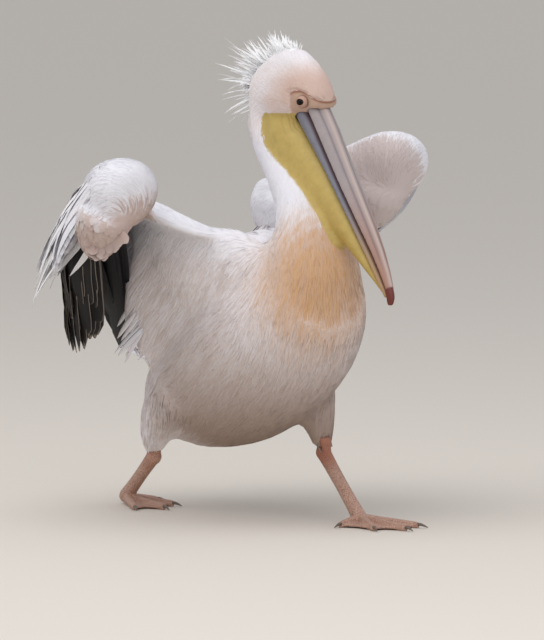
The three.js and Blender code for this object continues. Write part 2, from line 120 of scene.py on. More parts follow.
def spot(nodeName, x, y, z):   # a place in a node's box, as shares of its three sides
    low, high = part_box(nodeName)
    return np.array([low[i] + share * (high[i] - low[i]) for i, share in enumerate((x, y, z))])


def deselect():
    if bpy.context.object and bpy.context.object.mode != "OBJECT":
        bpy.ops.object.mode_set(mode="OBJECT")
    bpy.ops.object.select_all(action="DESELECT")


def makeActive(piece):
    deselect()
    piece.select_set(True)
    bpy.context.view_layer.objects.active = piece


def finishWith(piece, kind, **settings):   # adds a modifier and applies it
    makeActive(piece)
    modifier = piece.modifiers.new(kind.title(), kind)
    for name, value in settings.items():
        setattr(modifier, name, value)
    bpy.ops.object.modifier_apply(modifier=modifier.name)


def places(piece):
    found = np.empty(len(piece.data.vertices) * 3)
    piece.data.vertices.foreach_get("co", found)
    return found.reshape(-1, 3)


def setPlaces(piece, values):
    piece.data.vertices.foreach_set("co", np.asarray(values, float).ravel())
    piece.data.update()


def normals(piece):
    found = np.empty(len(piece.data.vertices) * 3, np.float32)
    piece.data.vertex_normals.foreach_get("vector", found)
    return found.reshape(-1, 3).astype(float)


def vertexGroup(piece, name, weights):
    group = piece.vertex_groups.new(name=name)
    levels = np.round(np.clip(weights, 0, 1) * 20).astype(int)
    for level in range(1, 21):
        chosen = np.nonzero(levels == level)[0].tolist()
        if chosen:
            group.add(chosen, level / 20, "REPLACE")


def paint(piece, name, values):   # a number for every vertex, which the materials read
    layer = piece.data.attributes.get(name) or piece.data.attributes.new(name, "FLOAT", "POINT")
    layer.data.foreach_set("value", np.asarray(values, np.float32))


def wear(piece, material):   # gives the piece its material and smooth shading
    piece.data.materials.append(material)
    makeActive(piece)
    bpy.ops.object.shade_smooth()


def pick(piece, chosen):   # opens the piece for editing with only the chosen vertices selected
    makeActive(piece)
    bpy.ops.object.mode_set(mode="EDIT")
    bpy.ops.mesh.select_mode(type="VERT")
    bpy.ops.mesh.select_all(action="DESELECT")
    bpy.ops.object.mode_set(mode="OBJECT")
    piece.data.vertices.foreach_set("select", chosen)
    bpy.ops.object.mode_set(mode="EDIT")


def copyNodes(name, nodeNames, voxel, bridge, oneShell=True):   # CAD solids melted into a closed shell
    deselect()
    for nodeName in nodeNames:
        part = frame["nodes"][nodeName].copy()
        part.data = part.data.copy()
        part.parent = None
        bpy.context.collection.objects.link(part)
        part.select_set(True)
        bpy.context.view_layer.objects.active = part
    if len(nodeNames) > 1:
        bpy.ops.object.join()
    piece = bpy.context.view_layer.objects.active
    piece.name = name
    for key in list(piece.keys()):
        del piece[key]
    makeActive(piece)
    bpy.ops.object.mode_set(mode="EDIT")
    bpy.ops.mesh.select_all(action="SELECT")
    bpy.ops.mesh.remove_doubles(threshold=0.00002)
    bpy.ops.object.mode_set(mode="OBJECT")
    piece.data.materials.clear()
    finishWith(piece, "DISPLACE", strength=bridge, mid_level=0.0)
    finishWith(piece, "REMESH", mode="VOXEL", voxel_size=voxel)
    if not oneShell:
        return piece
    high = places(piece)[:, 2]
    pick(piece, high == high.max())
    bpy.ops.mesh.select_linked()
    bpy.ops.mesh.select_all(action="INVERT")
    bpy.ops.mesh.delete(type="VERT")   # pockets shut in along the cuts
    bpy.ops.object.mode_set(mode="OBJECT")
    return piece


# The head's own axes, from the two eyes

eyeMiddles = {side: spot(f"eye_{side}", 0.5, 0.5, 0.5) for side in ("right", "left")}
headMiddle = (eyeMiddles["right"] + eyeMiddles["left"]) / 2
headAside = unit(eyeMiddles["left"] - eyeMiddles["right"])
headAhead = np.cross(headAside, (0, 0, 1))
bodyMiddle = spot("trunk", 0.5, 0.5, 0.5)[1]


def inHead(points):   # metres ahead of, left of and above the middle of the eyes
    away = np.asarray(points, float) - headMiddle
    return away @ headAhead, away @ headAside, away[..., 2]


# Skin: one shell in place of every node of flesh

pairs = ("right", "left")
bodyFlesh = ["head", "neck", "breast", "trunk", "mantle", "pouch"]
for side in pairs:
    bodyFlesh += [f"face_{side}", f"upper_arm_{side}", f"forearm_{side}", f"hand_{side}"]
    bodyFlesh += [f"patagium_{side}", f"thigh_{side}", f"axillaries_{side}"]
legFlesh = {side: [f"hock_{side}", f"tarsus_{side}", f"foot_{side}"] for side in pairs}

skinSettings = {
    "voxel": 0.0031,       # grid of the body's remesh
    "bridge": 0.0009,      # swells the solids over the thin cuts between them
    "broadSmooth": 220,    # passes over trunk, mantle and arms
    "fineSmooth": 16,      # passes over head, neck and thighs
    "refit": 70,           # passes that spread the way back to the solids' size
    "refitReach": (-0.004, 0.012),   # how far in and out that way may go
    "keep": 0.48,          # share of the triangles left after thinning
    "streakHigh": 0.0007,  # soft ridges along the lie of the coat
    "creaseDeep": 0.0011,  # folds at the corner of the gape
    "fineHead": {"ahead": -0.100, "low": -0.056, "high": 0.028},   # the naked face has finer folds
    "underEye": {"near": 0.0092, "kept": 0.0078},                  # the skin stays under the eyeball
}

# how far the broad smoothing reaches into each part
smoothShare = {"trunk": 1.0, "mantle": 1.0, "breast": 1.0, "upper_arm": 1.0, "forearm": 1.0, "hand": 1.0,
               "axillaries": 0.7, "patagium": 0.3, "thigh": 0.3, "neck": 0.3,
               "head": 0.12, "pouch": 0.12, "face": 0.12}
nearWristShare = 0.35      # the near knob keeps more of its form

# the coat on each part: skin depth under the solid, vane length and width, how far tips stand
# off, and how straight a vane stays where the skin curves away under it
coatSettings = {
    "head":       {"depth": 0.0020, "long": 0.013, "wide": 0.0020, "lift": 0.0006, "stiff": 0.1},
    "face":       {"depth": 0.0004, "long": 0.009, "wide": 0.0015, "lift": 0.0004, "stiff": 0.0},
    "pouch":      {"depth": 0.0004, "long": 0.009, "wide": 0.0015, "lift": 0.0004, "stiff": 0.0},
    "neck":       {"depth": 0.0018, "long": 0.018, "wide": 0.0021, "lift": 0.0005, "stiff": 0.1},
    "breast":     {"depth": 0.0022, "long": 0.050, "wide": 0.0028, "lift": 0.0009, "stiff": 0.1},
    "trunk":      {"depth": 0.0024, "long": 0.046, "wide": 0.0031, "lift": 0.0007, "stiff": 0.1},
    "mantle":     {"depth": 0.0026, "long": 0.056, "wide": 0.0060, "lift": 0.0012, "stiff": 0.2},
    "upper_arm":  {"depth": 0.0024, "long": 0.036, "wide": 0.0038, "lift": 0.0009, "stiff": 0.1},
    "axillaries": {"depth": 0.0004, "long": 0.052, "wide": 0.0038, "lift": 0.0009, "stiff": 0.25},
    "forearm":    {"depth": 0.0024, "long": 0.034, "wide": 0.0032, "lift": 0.0009, "stiff": 0.1},
    "hand":       {"depth": 0.0024, "long": 0.021, "wide": 0.0125, "lift": 0.0019, "stiff": 0.3},
    "patagium":   {"depth": 0.0018, "long": 0.028, "wide": 0.0036, "lift": 0.0009, "stiff": 0.1},
    "thigh":      {"depth": 0.0020, "long": 0.036, "wide": 0.0034, "lift": 0.0009, "stiff": 0.42},
}
partNames = list(coatSettings)

corners, faces, owner = [], [], []
for nodeName in bodyFlesh:
    mesh = frame["nodes"][nodeName].data
    start = len(corners)
    corners += [v.co.copy() for v in mesh.vertices]
    faces += [[start + v for v in p.vertices] for p in mesh.polygons]
    part = nodeName.replace("_right", "").replace("_left", "")
    owner += [partNames.index(part)] * len(mesh.polygons)
fleshTree = BVHTree.FromPolygons(corners, faces)


def fleshParts(points):   # for each point, the number of the flesh part that it lies nearest to
    return np.array([owner[fleshTree.find_nearest(p)[2]] for p in points.tolist()])


def edgesOf(piece):
    found = np.empty(len(piece.data.edges) * 2, np.int64)
    piece.data.edges.foreach_get("vertices", found)
    return found.reshape(-1, 2)


def blur(values, edges, passes):   # each vertex takes the mean of itself and its neighbours
    count = len(values)
    values = np.asarray(values, float).reshape(count, -1)
    ends = np.concatenate([edges[:, 0], edges[:, 1]])
    others = np.concatenate([edges[:, 1], edges[:, 0]])
    degree = np.bincount(ends, minlength=count)[:, None]
    for step in range(passes):
        sums = [np.bincount(ends, values[others, axis], count) for axis in range(values.shape[1])]
        values = 0.5 * values + 0.5 * np.stack(sums, 1) / np.maximum(degree, 1)
    return values


def isPart(*names):
    return np.isin(labels, [partNames.index(n) for n in names])


skin = copyNodes("skin", bodyFlesh, skinSettings["voxel"], skinSettings["bridge"])
shellFaces = [list(face.vertices) for face in skin.data.polygons]
shellTree = BVHTree.FromPolygons(places(skin).tolist(), shellFaces)
labels = fleshParts(places(skin))
edges = edgesOf(skin)
plain = np.array([smoothShare[name] for name in partNames])[labels]
plain[isPart("forearm", "hand") & (places(skin)[:, 1] <= bodyMiddle)] = nearWristShare
vertexGroup(skin, "plain", blur(plain, edges, 12)[:, 0])
finishWith(skin, "SMOOTH", factor=0.5, iterations=skinSettings["broadSmooth"], vertex_group="plain")
finishWith(skin, "SMOOTH", factor=0.5, iterations=skinSettings["fineSmooth"])
finishWith(skin, "DECIMATE", ratio=skinSettings["keep"])
at, normal = places(skin), normals(skin)
back = np.array([shellTree.find_nearest(p)[0] for p in at.tolist()]) - at
short = blur((back * normal).sum(1), edgesOf(skin), skinSettings["refit"])
setPlaces(skin, at + normal * np.clip(short, *skinSettings["refitReach"]))   # smoothing had shrunk it
ahead, aside, height = inHead(places(skin))
fine = skinSettings["fineHead"]
pick(skin, (ahead > fine["ahead"]) & (height > fine["low"]) & (height < fine["high"]))
bpy.ops.mesh.subdivide(number_cuts=1)
bpy.ops.object.mode_set(mode="OBJECT")
labels = fleshParts(places(skin))
edges = edgesOf(skin)
depth = np.array([coatSettings[n]["depth"] for n in partNames])[labels]
depth = blur(depth, edges, 10)[:, 0] + skinSettings["bridge"]
setPlaces(skin, places(skin) - normals(skin) * depth[:, None])
at = places(skin)
for side in pairs:
    away = at - eyeMiddles[side]
    near = np.linalg.norm(away, axis=1) < skinSettings["underEye"]["near"]
    at[near] = (eyeMiddles[side] + unit(away) * skinSettings["underEye"]["kept"])[near]
setPlaces(skin, at)
print("skin", len(skin.data.vertices), "vertices")


# The lie of the coat: which way its tips point, over the whole skin

wingInsets = {"wrist": (0.045, 0.064, 0.055), "elbow": (0.008, 0.029, 0.029)}   # in from the solids' sides


def wingPlaces(side):   # the wrist knob's middle and the elbow, from their solids
    sign = 1 if side == "left" else -1
    low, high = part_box(f"forearm_{side}")
    outer = high[1] if sign > 0 else low[1]
    back, inward, down = wingInsets["wrist"]
    wrist = np.array([high[0] - back, outer - sign * inward, high[2] - down])
    low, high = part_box(f"upper_arm_{side}")
    outer = high[1] if sign > 0 else low[1]
    front, inward, down = wingInsets["elbow"]
    elbow = np.array([low[0] + front, outer - sign * inward, high[2] - down])
    return wrist, elbow, sign


# ways that tips point, ahead, outwards and up, and where each rule fades into the next
lieSettings = {
    "parts": {"trunk": (-0.80, 0.0, -0.60), "mantle": (-0.94, 0.0, -0.34),
              "upper_arm": (-0.66, 0.0, -0.75), "axillaries": (-0.72, 0.0, -0.69),
              "forearm": (-0.62, 0.12, -0.78), "hand": (-0.25, 0.05, -0.96),
              "patagium": (-0.55, 0.0, -0.83), "pouch": (0.4, 0.0, -0.9)},
    "rump": {"way": (-0.93, 0, -0.36), "fade": (0.0, -0.26)},
    "lores": {"ahead": 0.055, "down": 0.012},      # feathers of the head spread from there
    "neck": {"top": (0.45, 0, -0.9), "foot": (-0.05, 0, -1.0), "fade": (0.68, 0.56),
             "spread": (0.60, 0.46), "spreadBy": 0.9,
             "heights": (0.44, 0.53, 0.59, 0.65), "middles": (0.150, 0.158, 0.110, 0.055)},
    "breast": {"ahead": (0.06, 0.20), "height": (0.20, 0.36), "back": -0.10, "backBy": -0.5,
               "backFade": (0.20, 0.08), "fan": 3.0},
    "knob": {"axis": (0.75, 0.66), "down": 0.045, "fade": (0.15, 0.09)},
    "thighEnd": 0.55,      # past this the lie runs straight out of the skin
}


def lieOfCoat(points):
    ways = np.zeros_like(points)
    outward = np.where(points[:, 1] > bodyMiddle, 1.0, -1.0)
    for part, way in lieSettings["parts"].items():
        here = isPart(part)
        ways[here] = way
        ways[here, 1] *= outward[here]
    here = isPart("trunk")
    rump, neck, breast = (lieSettings[key] for key in ("rump", "neck", "breast"))
    rear = ramp(points[:, 0], *rump["fade"])[:, None]
    ways[here] = (ways * (1 - rear) + np.array(rump["way"]) * rear)[here]
    lores = headMiddle + lieSettings["lores"]["ahead"] * headAhead - (0, 0, lieSettings["lores"]["down"])
    here = isPart("head", "face")
    ways[here] = unit(points - lores)[here]
    here = isPart("neck")
    drop = ramp(points[:, 2], *neck["fade"])[:, None]
    down = (1 - drop) * np.array(neck["top"]) + drop * np.array(neck["foot"])
    spread = ramp(points[:, 2], *neck["spread"])[:, None]
    axis = np.stack([np.interp(points[:, 2], neck["heights"], neck["middles"]),
                     np.full(len(points), bodyMiddle), points[:, 2]], 1)
    ways[here] = unit(down + spread * neck["spreadBy"] * unit(points - axis))[here]
    front = ramp(points[:, 0], *breast["ahead"]) * ramp(points[:, 2], *breast["height"])
    here = isPart("breast", "trunk")
    fan = np.stack([breast["back"] + breast["backBy"] * ramp(points[:, 0], *breast["backFade"]),
                    (points[:, 1] - bodyMiddle) * breast["fan"], np.full(len(points), -1.0)], 1)
    ways[here] = (ways * (1 - front[:, None]) + unit(fan) * front[:, None])[here]
    knob = lieSettings["knob"]
    for side in pairs:
        near = (points[:, 1] > bodyMiddle) == (side == "left")
        top, foot = spot(f"thigh_{side}", 0.5, 0.5, 1.0), spot(f"hock_{side}", 0.5, 0.5, 0.5)
        ways[isPart("thigh") & near] = unit(foot - top)
        wrist, elbow, sign = wingPlaces(side)      # feathers sweep up and back over the wrist's knob
        axis = (knob["axis"][0], sign * knob["axis"][1], 0)
        sweep = -sign * np.cross(axis, unit(points - wrist + (0, 0, knob["down"])))
        here = isPart("forearm") & near
        share = ramp(np.linalg.norm(points - wrist, axis=1), *knob["fade"])[:, None]
        ways[here] = (ways * (1 - share) + unit(sweep) * share)[here]
    return ways


def tangentPart(ways, across):
    return unit(ways - (ways * across).sum(1, keepdims=True) * across)


skinNormals = normals(skin)
lie = lieOfCoat(places(skin))
thighEnds = isPart("thigh") & ((unit(lie) * skinNormals).sum(1) > lieSettings["thighEnd"])
for step in range(4):
    lie = tangentPart(lie, skinNormals)
    lie = blur(lie, edges, 8)
lie = tangentPart(lie, skinNormals)
sizes = {key: np.array([coatSettings[n][key] for n in partNames])[labels]
         for key in ("long", "wide", "lift", "stiff")}
sizes = {key: blur(value, edges, 14)[:, 0] for key, value in sizes.items()}


# Markings shared by the skin and its coat, painted shade and painted light among them

# Lengths ahead of, aside from and above the middle of the eyes; fades run from the first value
# to the second.
browLine = ((-0.040, -0.028, -0.019, -0.005, 0.011, 0.025, 0.036, 0.060),
            (0.004, 0.012, 0.0170, 0.0184, 0.0130, 0.0034, -0.0050, -0.0110))   # ahead, height
bareRear = ((-0.030, -0.018, 0.0, 0.012), (-0.036, -0.031, -0.028, -0.027))     # height, ahead
hairline = (-0.001, 0.001)      # a fade as sharp as the edge of bare skin
headFoot = 0.66                 # height over the floor under which nothing of the face lies
markSettings = {
    "pouchTop": ((-0.115, -0.100, -0.030, -0.012), (-0.036, -0.022, -0.020, -0.030)),
    "pouchFoot": (-0.060, -0.050), "pouchRear": (-0.113, -0.109), "pouchFront": (-0.008, -0.014),
    "pouchEdge": (0.08, 0.17),
    "gape": (-0.010, -0.026),      # middle of the folds that curl round its corner
    "folds": ((0.027, 1.0), (0.034, 0.7), (0.046, 0.4)),   # radius, strength
    "foldWide": 0.0013, "foldWander": 0.0015, "foldWay": 207, "foldSwing": (0.75, 0.35),
    "foldFoot": 0.60,
    "gold": {"middle": (0.205, -0.012, 0.435), "size": (0.082, 0.095, 0.118), "fade": (1.32, 0.42),
             "ragged": 0.16, "most": 0.95},
    "browOff": 0.004,              # the brow's line stays off the middle of the forehead
    "headFade": 0.03,
    "shade": {"height": (0.46, 0.10), "ahead": (-0.16, -0.02), "ragged": 0.012},
    "lores": {"middle": (0.004, 0.012), "size": (0.080, 0.050), "fade": (1.25, 0.35), "most": 0.80},
    "cheek": {"middle": (-0.055, -0.004), "size": (0.045, 0.030), "fade": (1.2, 0.2), "most": 0.55},
    # brow and lid: painted shadow under the feather edge over the bare skin; brow on the vanes, lid on the
    # skin
    "brow": {"above": 0.001, "wide": 0.0020, "rear": (-0.032, -0.024), "front": (0.044, 0.030),
             "most": 0.35},
    "lid": {"above": -0.0008, "wide": 0.0022, "rear": (-0.033, -0.022), "front": (0.046, 0.036),
            "most": 0.85},
    # crown and upper: painted light, paler and bluer over the crown and over the wings and back where light
    # from above falls
    "crown": {"height": (0.036, 0.080), "ahead": (0.035, -0.01), "most": 0.5},
    "upper": {"rise": (0.44, 0.52), "fall": (0.70, 0.64), "most": 0.9},
    # streak: painted shade in soft bands along the lie, the same bands that sink the body's skin into
    # grooves
    "streakShade": {"fade": (-0.1, 1.2), "height": (0.66, 0.60), "most": 0.50},
}


def bareShare(points):   # 1 on the naked skin round the eye, 0 under feathers
    ahead, aside, height = inHead(points)
    below = ramp(np.interp(ahead, *browLine) - height, *hairline)
    rear = np.interp(height, *bareRear)
    return below * ramp(ahead - rear, *hairline) * ramp(points[:, 2], headFoot, headFoot + 0.008)


def pouchShare(points, onPouch):   # the yellow skin, which runs up behind the gape under the cheek
    marks = markSettings
    ahead, aside, height = inHead(points)
    top = np.interp(ahead, *marks["pouchTop"])
    behind = ramp(top - height, *hairline) * ramp(height, *marks["pouchFoot"])
    behind = behind * ramp(ahead, *marks["pouchRear"]) * ramp(ahead, *marks["pouchFront"])
    return np.maximum(ramp(onPouch, *marks["pouchEdge"]), behind)


def creaseShare(points):   # fine folds that curl round the corner of the gape
    marks = markSettings
    ahead, aside, height = inHead(points)
    ahead, height = ahead - marks["gape"][0], height - marks["gape"][1]
    reach, turn = np.hypot(ahead, height), np.arctan2(height, ahead) - radians(marks["foldWay"])
    wander = marks["foldWander"] * ripple(points, 0.02, 19)
    rings = sum(weight * np.exp(-((reach + wander - ring) / marks["foldWide"]) ** 2)
                for ring, weight in marks["folds"])
    swing = np.abs(np.arctan2(np.sin(turn), np.cos(turn)))
    return np.clip(rings, 0, 1) * ramp(swing, *marks["foldSwing"]) * (points[:, 2] > marks["foldFoot"])


streakRows = ((unit((-0.80, 0, -0.60)), 0.017, 33), (unit((-0.06, 0, -1.0)), 0.010, 34))   # flank, breast
streakFront = {"ahead": (0.10, 0.19), "height": (0.24, 0.38), "squeeze": 0.91}


def streaks(points):   # long soft bands that follow the lie: down the breast, back and down over the flank
    bands = []
    for way, size, seed in streakRows:
        squeezed = points - streakFront["squeeze"] * (points @ way)[:, None] * way
        bands.append(0.6 * ripple(squeezed, size, seed) + 0.4 * ripple(squeezed, size * 0.5, seed + 7))
    front = ramp(points[:, 0], *streakFront["ahead"]) * ramp(points[:, 2], *streakFront["height"])
    return bands[0] * (1 - front) + bands[1] * front


def browShadowShare(points, line):   # a painted shadow along the upper edge of the bare skin, under the feathers' overhanging edge
    ahead, aside, height = inHead(points)
    share = np.exp(-((height - line["above"] - np.interp(ahead, *browLine)) / line["wide"]) ** 2)
    return line["most"] * share * ramp(ahead, *line["rear"]) * ramp(ahead, *line["front"])


def ovalShare(ahead, height, oval):
    away = np.hypot(*((value - middle) / size for value, middle, size in
                      zip((ahead, height), oval["middle"], oval["size"])))
    return oval["most"] * ramp(away, *oval["fade"])


def markings(points):   # shares from 0 to 1, worn alike by the skin and by the vanes rooted there; some are painted shade and painted light
    marks, band = markSettings, streaks(points)
    ahead, aside, height = inHead(points)
    gold, shade, crown, upper = (marks[key] for key in ("gold", "shade", "crown", "upper"))
    away = (points - np.array(gold["middle"]) - (0, bodyMiddle, 0)) / gold["size"]
    goldShare = ramp(np.linalg.norm(away, axis=1) + gold["ragged"] * band, *gold["fade"]) * gold["most"]
    shadeShare = ramp(points[:, 2] + shade["ragged"] * band, *shade["height"])
    shadeShare = shadeShare * ramp(points[:, 0], *shade["ahead"])
    blush = np.maximum(ovalShare(ahead, height, marks["lores"]), ovalShare(ahead, height, marks["cheek"]))
    # painted light over the crown and the upper body
    pale = crown["most"] * ramp(height, *crown["height"]) * ramp(ahead, *crown["ahead"])
    pale = pale + upper["most"] * ramp(points[:, 2], *upper["rise"]) * ramp(points[:, 2], *upper["fall"])
    # painted shade where the bands groove the skin
    streakShade = marks["streakShade"]["most"] * ramp(band, *marks["streakShade"]["fade"])
    return {"gold": goldShare, "shade": shadeShare,
            "blush": blush * ramp(points[:, 2], headFoot, headFoot + marks["headFade"]),
            "brow": browShadowShare(points, marks["brow"]) * (np.abs(aside) > marks["browOff"]),
            "pale": np.minimum(pale, 1),
            "streakShade": streakShade * ramp(points[:, 2], *marks["streakShade"]["height"]), "buff": buffAndShadeShare(points)}


# the underwing's buff, with painted shade in it
buffAndShadeSettings = {"ragged": 0.010, "raggedSize": 0.030,
                "top": (0.004, 0.044), "foot": (0.02, 0.0),      # under the hand's top, and under its foot
                "ahead": (-0.075, -0.035), "aside": (0.085, 0.070), "most": 0.9,
                "innerWay": (0.42, 0.83, -0.50), "innerFade": (0.00, 0.36), "innerReach": (0.20, 0.15),
                "innerDown": 0.02, "innerRagged": 1.5, "innerMost": 0.62}


def buffAndShadeShare(points):   # the underwing's pinkish buff with painted shade in it: the folded hand, and the far wing's inner face
    buff, share = buffAndShadeSettings, np.zeros(len(points))
    for side in pairs:
        wrist, elbow, sign = wingPlaces(side)
        low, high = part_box(f"hand_{side}")
        ragged = buff["ragged"] * ripple(points, buff["raggedSize"], 21)
        top, foot = (high[2] - drop for drop in buff["top"]), (low[2] - drop for drop in buff["foot"])
        inHand = ramp(points[:, 2] + ragged, *top) * ramp(points[:, 2], *foot)
        inHand = inHand * ramp(points[:, 0] + ragged, *buff["ahead"])
        inHand = inHand * ramp(np.abs(points[:, 1] - wrist[1]), *buff["aside"])
        away = points - wrist + (0, 0, buff["innerDown"])
        ahead, inward, up = buff["innerWay"]
        inner = (unit(away) * unit((ahead, -sign * inward, up))).sum(1) + buff["innerRagged"] * ragged
        inner = ramp(inner, *buff["innerFade"]) * ramp(np.linalg.norm(away, axis=1), *buff["innerReach"])
        share = np.maximum(share, buff["innerMost"] * inner if side == "left" else buff["most"] * inHand)
    return share


makeActive(skin)
bpy.ops.object.mode_set(mode="EDIT")
bpy.ops.mesh.select_all(action="SELECT")
bpy.ops.uv.smart_project(angle_limit=1.15, island_margin=0.004)
bpy.ops.object.mode_set(mode="OBJECT")
skin.data.uv_layers.active.name = "OFBake"
soft = isPart("trunk", "breast", "upper_arm", "axillaries", "mantle", "thigh")
ridges = -streaks(places(skin)) * blur(soft, edges, 6)[:, 0] * skinSettings["streakHigh"]
onPouch = blur(isPart("pouch"), edges, 30)[:, 0]
yellow, creases = pouchShare(places(skin), onPouch), creaseShare(places(skin))
setPlaces(skin, places(skin) + normals(skin) * (ridges - skinSettings["creaseDeep"] * creases)[:, None])
print("skin unwrapped")


# Slips: closed vanes with a raised shaft, laid along given spines

def faceTable(piece):   # triangles of a mesh, with their corners, areas and unwrap
    mesh = piece.data
    mesh.calc_loop_triangles()
    count = len(mesh.loop_triangles)
    corners = np.empty(count * 3, np.int64)
    loops = np.empty(count * 3, np.int64)
    mesh.loop_triangles.foreach_get("vertices", corners)
    mesh.loop_triangles.foreach_get("loops", loops)
    unwrap = np.empty(len(mesh.loops) * 2, np.float32)
    mesh.uv_layers["OFBake"].uv.foreach_get("vector", unwrap)
    corners, loops = corners.reshape(-1, 3), loops.reshape(-1, 3)
    at = places(piece)[corners]
    cross = np.cross(at[:, 1] - at[:, 0], at[:, 2] - at[:, 0])
    return {"corners": corners, "at": at, "area": np.linalg.norm(cross, axis=1) / 2,
            "normal": unit(cross), "unwrap": unwrap.reshape(-1, 2)[loops]}


def buildMany(name, points, quads, tris, unwrap, painted, material, leans=None):
    # like forms, one mesh
    count, each = points.shape[:2]
    shifts = (np.arange(count) * each)[:, None, None]
    quadCorners = (np.array(quads, np.int64).reshape(1, -1, 4) + shifts).reshape(-1)
    triCorners = (np.array(tris, np.int64).reshape(1, -1, 3) + shifts).reshape(-1)
    corners = np.concatenate([quadCorners, triCorners])
    quadTotal, triTotal = len(quadCorners) // 4, len(triCorners) // 3
    mesh = bpy.data.meshes.new(name)
    mesh.vertices.add(count * each)
    mesh.vertices.foreach_set("co", points.reshape(-1).astype(np.float32))
    mesh.loops.add(len(corners))
    mesh.loops.foreach_set("vertex_index", corners.astype(np.int32))
    mesh.polygons.add(quadTotal + triTotal)
    starts = np.concatenate([np.arange(quadTotal) * 4, quadTotal * 4 + np.arange(triTotal) * 3])
    mesh.polygons.foreach_set("loop_start", starts.astype(np.int32))
    mesh.update(calc_edges=True)
    layer = mesh.uv_layers.new(name="OFBake")
    layer.uv.foreach_set("vector", unwrap.reshape(-1, 2)[corners].astype(np.float32).ravel())
    piece = bpy.data.objects.new(name, mesh)
    bpy.context.collection.objects.link(piece)
    for key, value in painted.items():
        paint(piece, key, value)
    wear(piece, material)
    if leans is not None:      # a coat is lit as the soft form under it, not as thousands of plates
        plates = np.empty(len(mesh.polygons) * 3, np.float32)
        mesh.polygons.foreach_get("normal", plates)
        ends = np.append(starts, len(corners))
        plates = np.repeat(plates.reshape(-1, 3), np.diff(ends), 0)
        turned = leans.reshape(-1, 3)[corners]
        turned = turned - 2 * np.minimum((turned * plates).sum(1, keepdims=True), 0) * plates
        mesh.normals_split_custom_set(turned.tolist())
    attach(piece, "root")
    return piece


slipSettings = {"lean": 0.3, "ownForm": 0.3, "patch": (0.0015, 0.003)}   # light's turn, size in the unwrap


def slips(name, spine, across, above, half, camber, unwrap, painted, material, lit=None):
    # spine, across and above are (vane, row, 3), half is (vane, row), and a last half of 0 makes a point
    count, rows = half.shape
    pointed = not half[:, -1].any()
    points, leans, sideways, along = [], [], [], []
    for row in range(rows):
        share = row / (rows - 1)
        if row == rows - 1 and pointed:
            points.append(spine[:, row])
            leans.append(above[:, row])
            sideways.append(0)
            along.append(share)
            continue
        reach = across[:, row] * half[:, row, None]
        points += [spine[:, row] - reach, spine[:, row] + above[:, row] * half[:, row, None] * camber,
                   spine[:, row] + reach]
        lean = slipSettings["lean"] * across[:, row]
        leans += [above[:, row] - lean, above[:, row], above[:, row] + lean]
        sideways += [-1, 0, 1]
        along += [share] * 3
    points, leans = np.stack(points, 1), unit(np.stack(leans, 1))
    if lit is not None:
        leans = unit(slipSettings["ownForm"] * leans + lit[:, None])
    each = points.shape[1]
    full = rows - 1 if pointed else rows
    quads = []
    for row in range(full - 1):
        a, b = row * 3, row * 3 + 3
        quads += [(a, b, b + 1, a + 1), (a + 1, b + 1, b + 2, a + 2), (a + 2, b + 2, b, a)]
    a = full * 3 - 3
    tris = [(0, 1, 2)]
    tris += [(a, a + 3, a + 1), (a + 1, a + 3, a + 2), (a + 2, a + 3, a)] if pointed else [(a + 2, a + 1, a)]
    patch = np.stack([sideways, along], 1) * slipSettings["patch"]
    painted = {key: np.repeat(value, each) for key, value in painted.items()}
    painted["along"] = np.tile(along, count)
    return buildMany(name, points, quads, tris, unwrap[:, None, :] + patch[None], painted, material,
                     leans)


# Plumage: finish

def plumageColour(tree, tints):   # the coat's colours from the painted markings, painted shade and painted light among them
    read = {key: addNode(tree, "Attribute", attribute_name=key).outputs["Fac"]
            for key in ("tone", "streakShade", "gold", "buff", "along")}
    base = addNode(tree, "Mix", {0: read["tone"], 6: colour(tints["pink"]), 7: colour(tints["white"])},
                   data_type="RGBA").outputs[2]
    marks = ("streakShade", "pale", "shade", "buff", "gold", "blush", "brow")
    base = layTints(tree, base, [(key, tints[key]) for key in marks])
    tip = addNode(tree, "MapRange", {"Value": read["along"], "From Min": 0.70, "From Max": 1.0,
                                     "To Max": 0.22})
    # painted shade: the gold patch darker in the grooves between its soft bands
    goldGrooveShare = addNode(tree, "Math", {0: read["streakShade"], 1: read["gold"]}, operation="MULTIPLY")
    for share, where, key in ((goldGrooveShare, "gold", "goldGrooveShade"), (tip, "buff", "tip")):
        worn = addNode(tree, "Math", {0: share.outputs[0], 1: read[where]}, operation="MULTIPLY")
        base = addNode(tree, "Mix", {0: worn.outputs[0], 6: base, 7: colour(tints[key])},
                       data_type="RGBA").outputs[2]
    return base


# the streak, shade, deep gold and brow tints are painted shade, the pale tint painted light, and the buff
# tint the underwing's buff with painted shade in it
plumageTints = {"white": "#ede9ec", "pink": "#e1d4d0", "streakShade": "#bba9a1", "pale": "#e9e9ef",
                "shade": "#9d8779", "buff": "#baa297", "gold": "#cb9e70", "blush": "#cfae9d",
                "brow": "#75503f", "tip": "#e6dcd7", "goldGrooveShade": "#a5764a"}
keratinIor = 1.54


def makePlumage(name, tints):   # keratin barbs, matt and soft to the eye
    material, tree, shader = startMaterial(name)
    setInputs(tree, shader, {"Base Color": plumageColour(tree, tints), "Roughness": 0.85, "IOR": keratinIor,
                             "Specular IOR Level": 0.2})
    return material


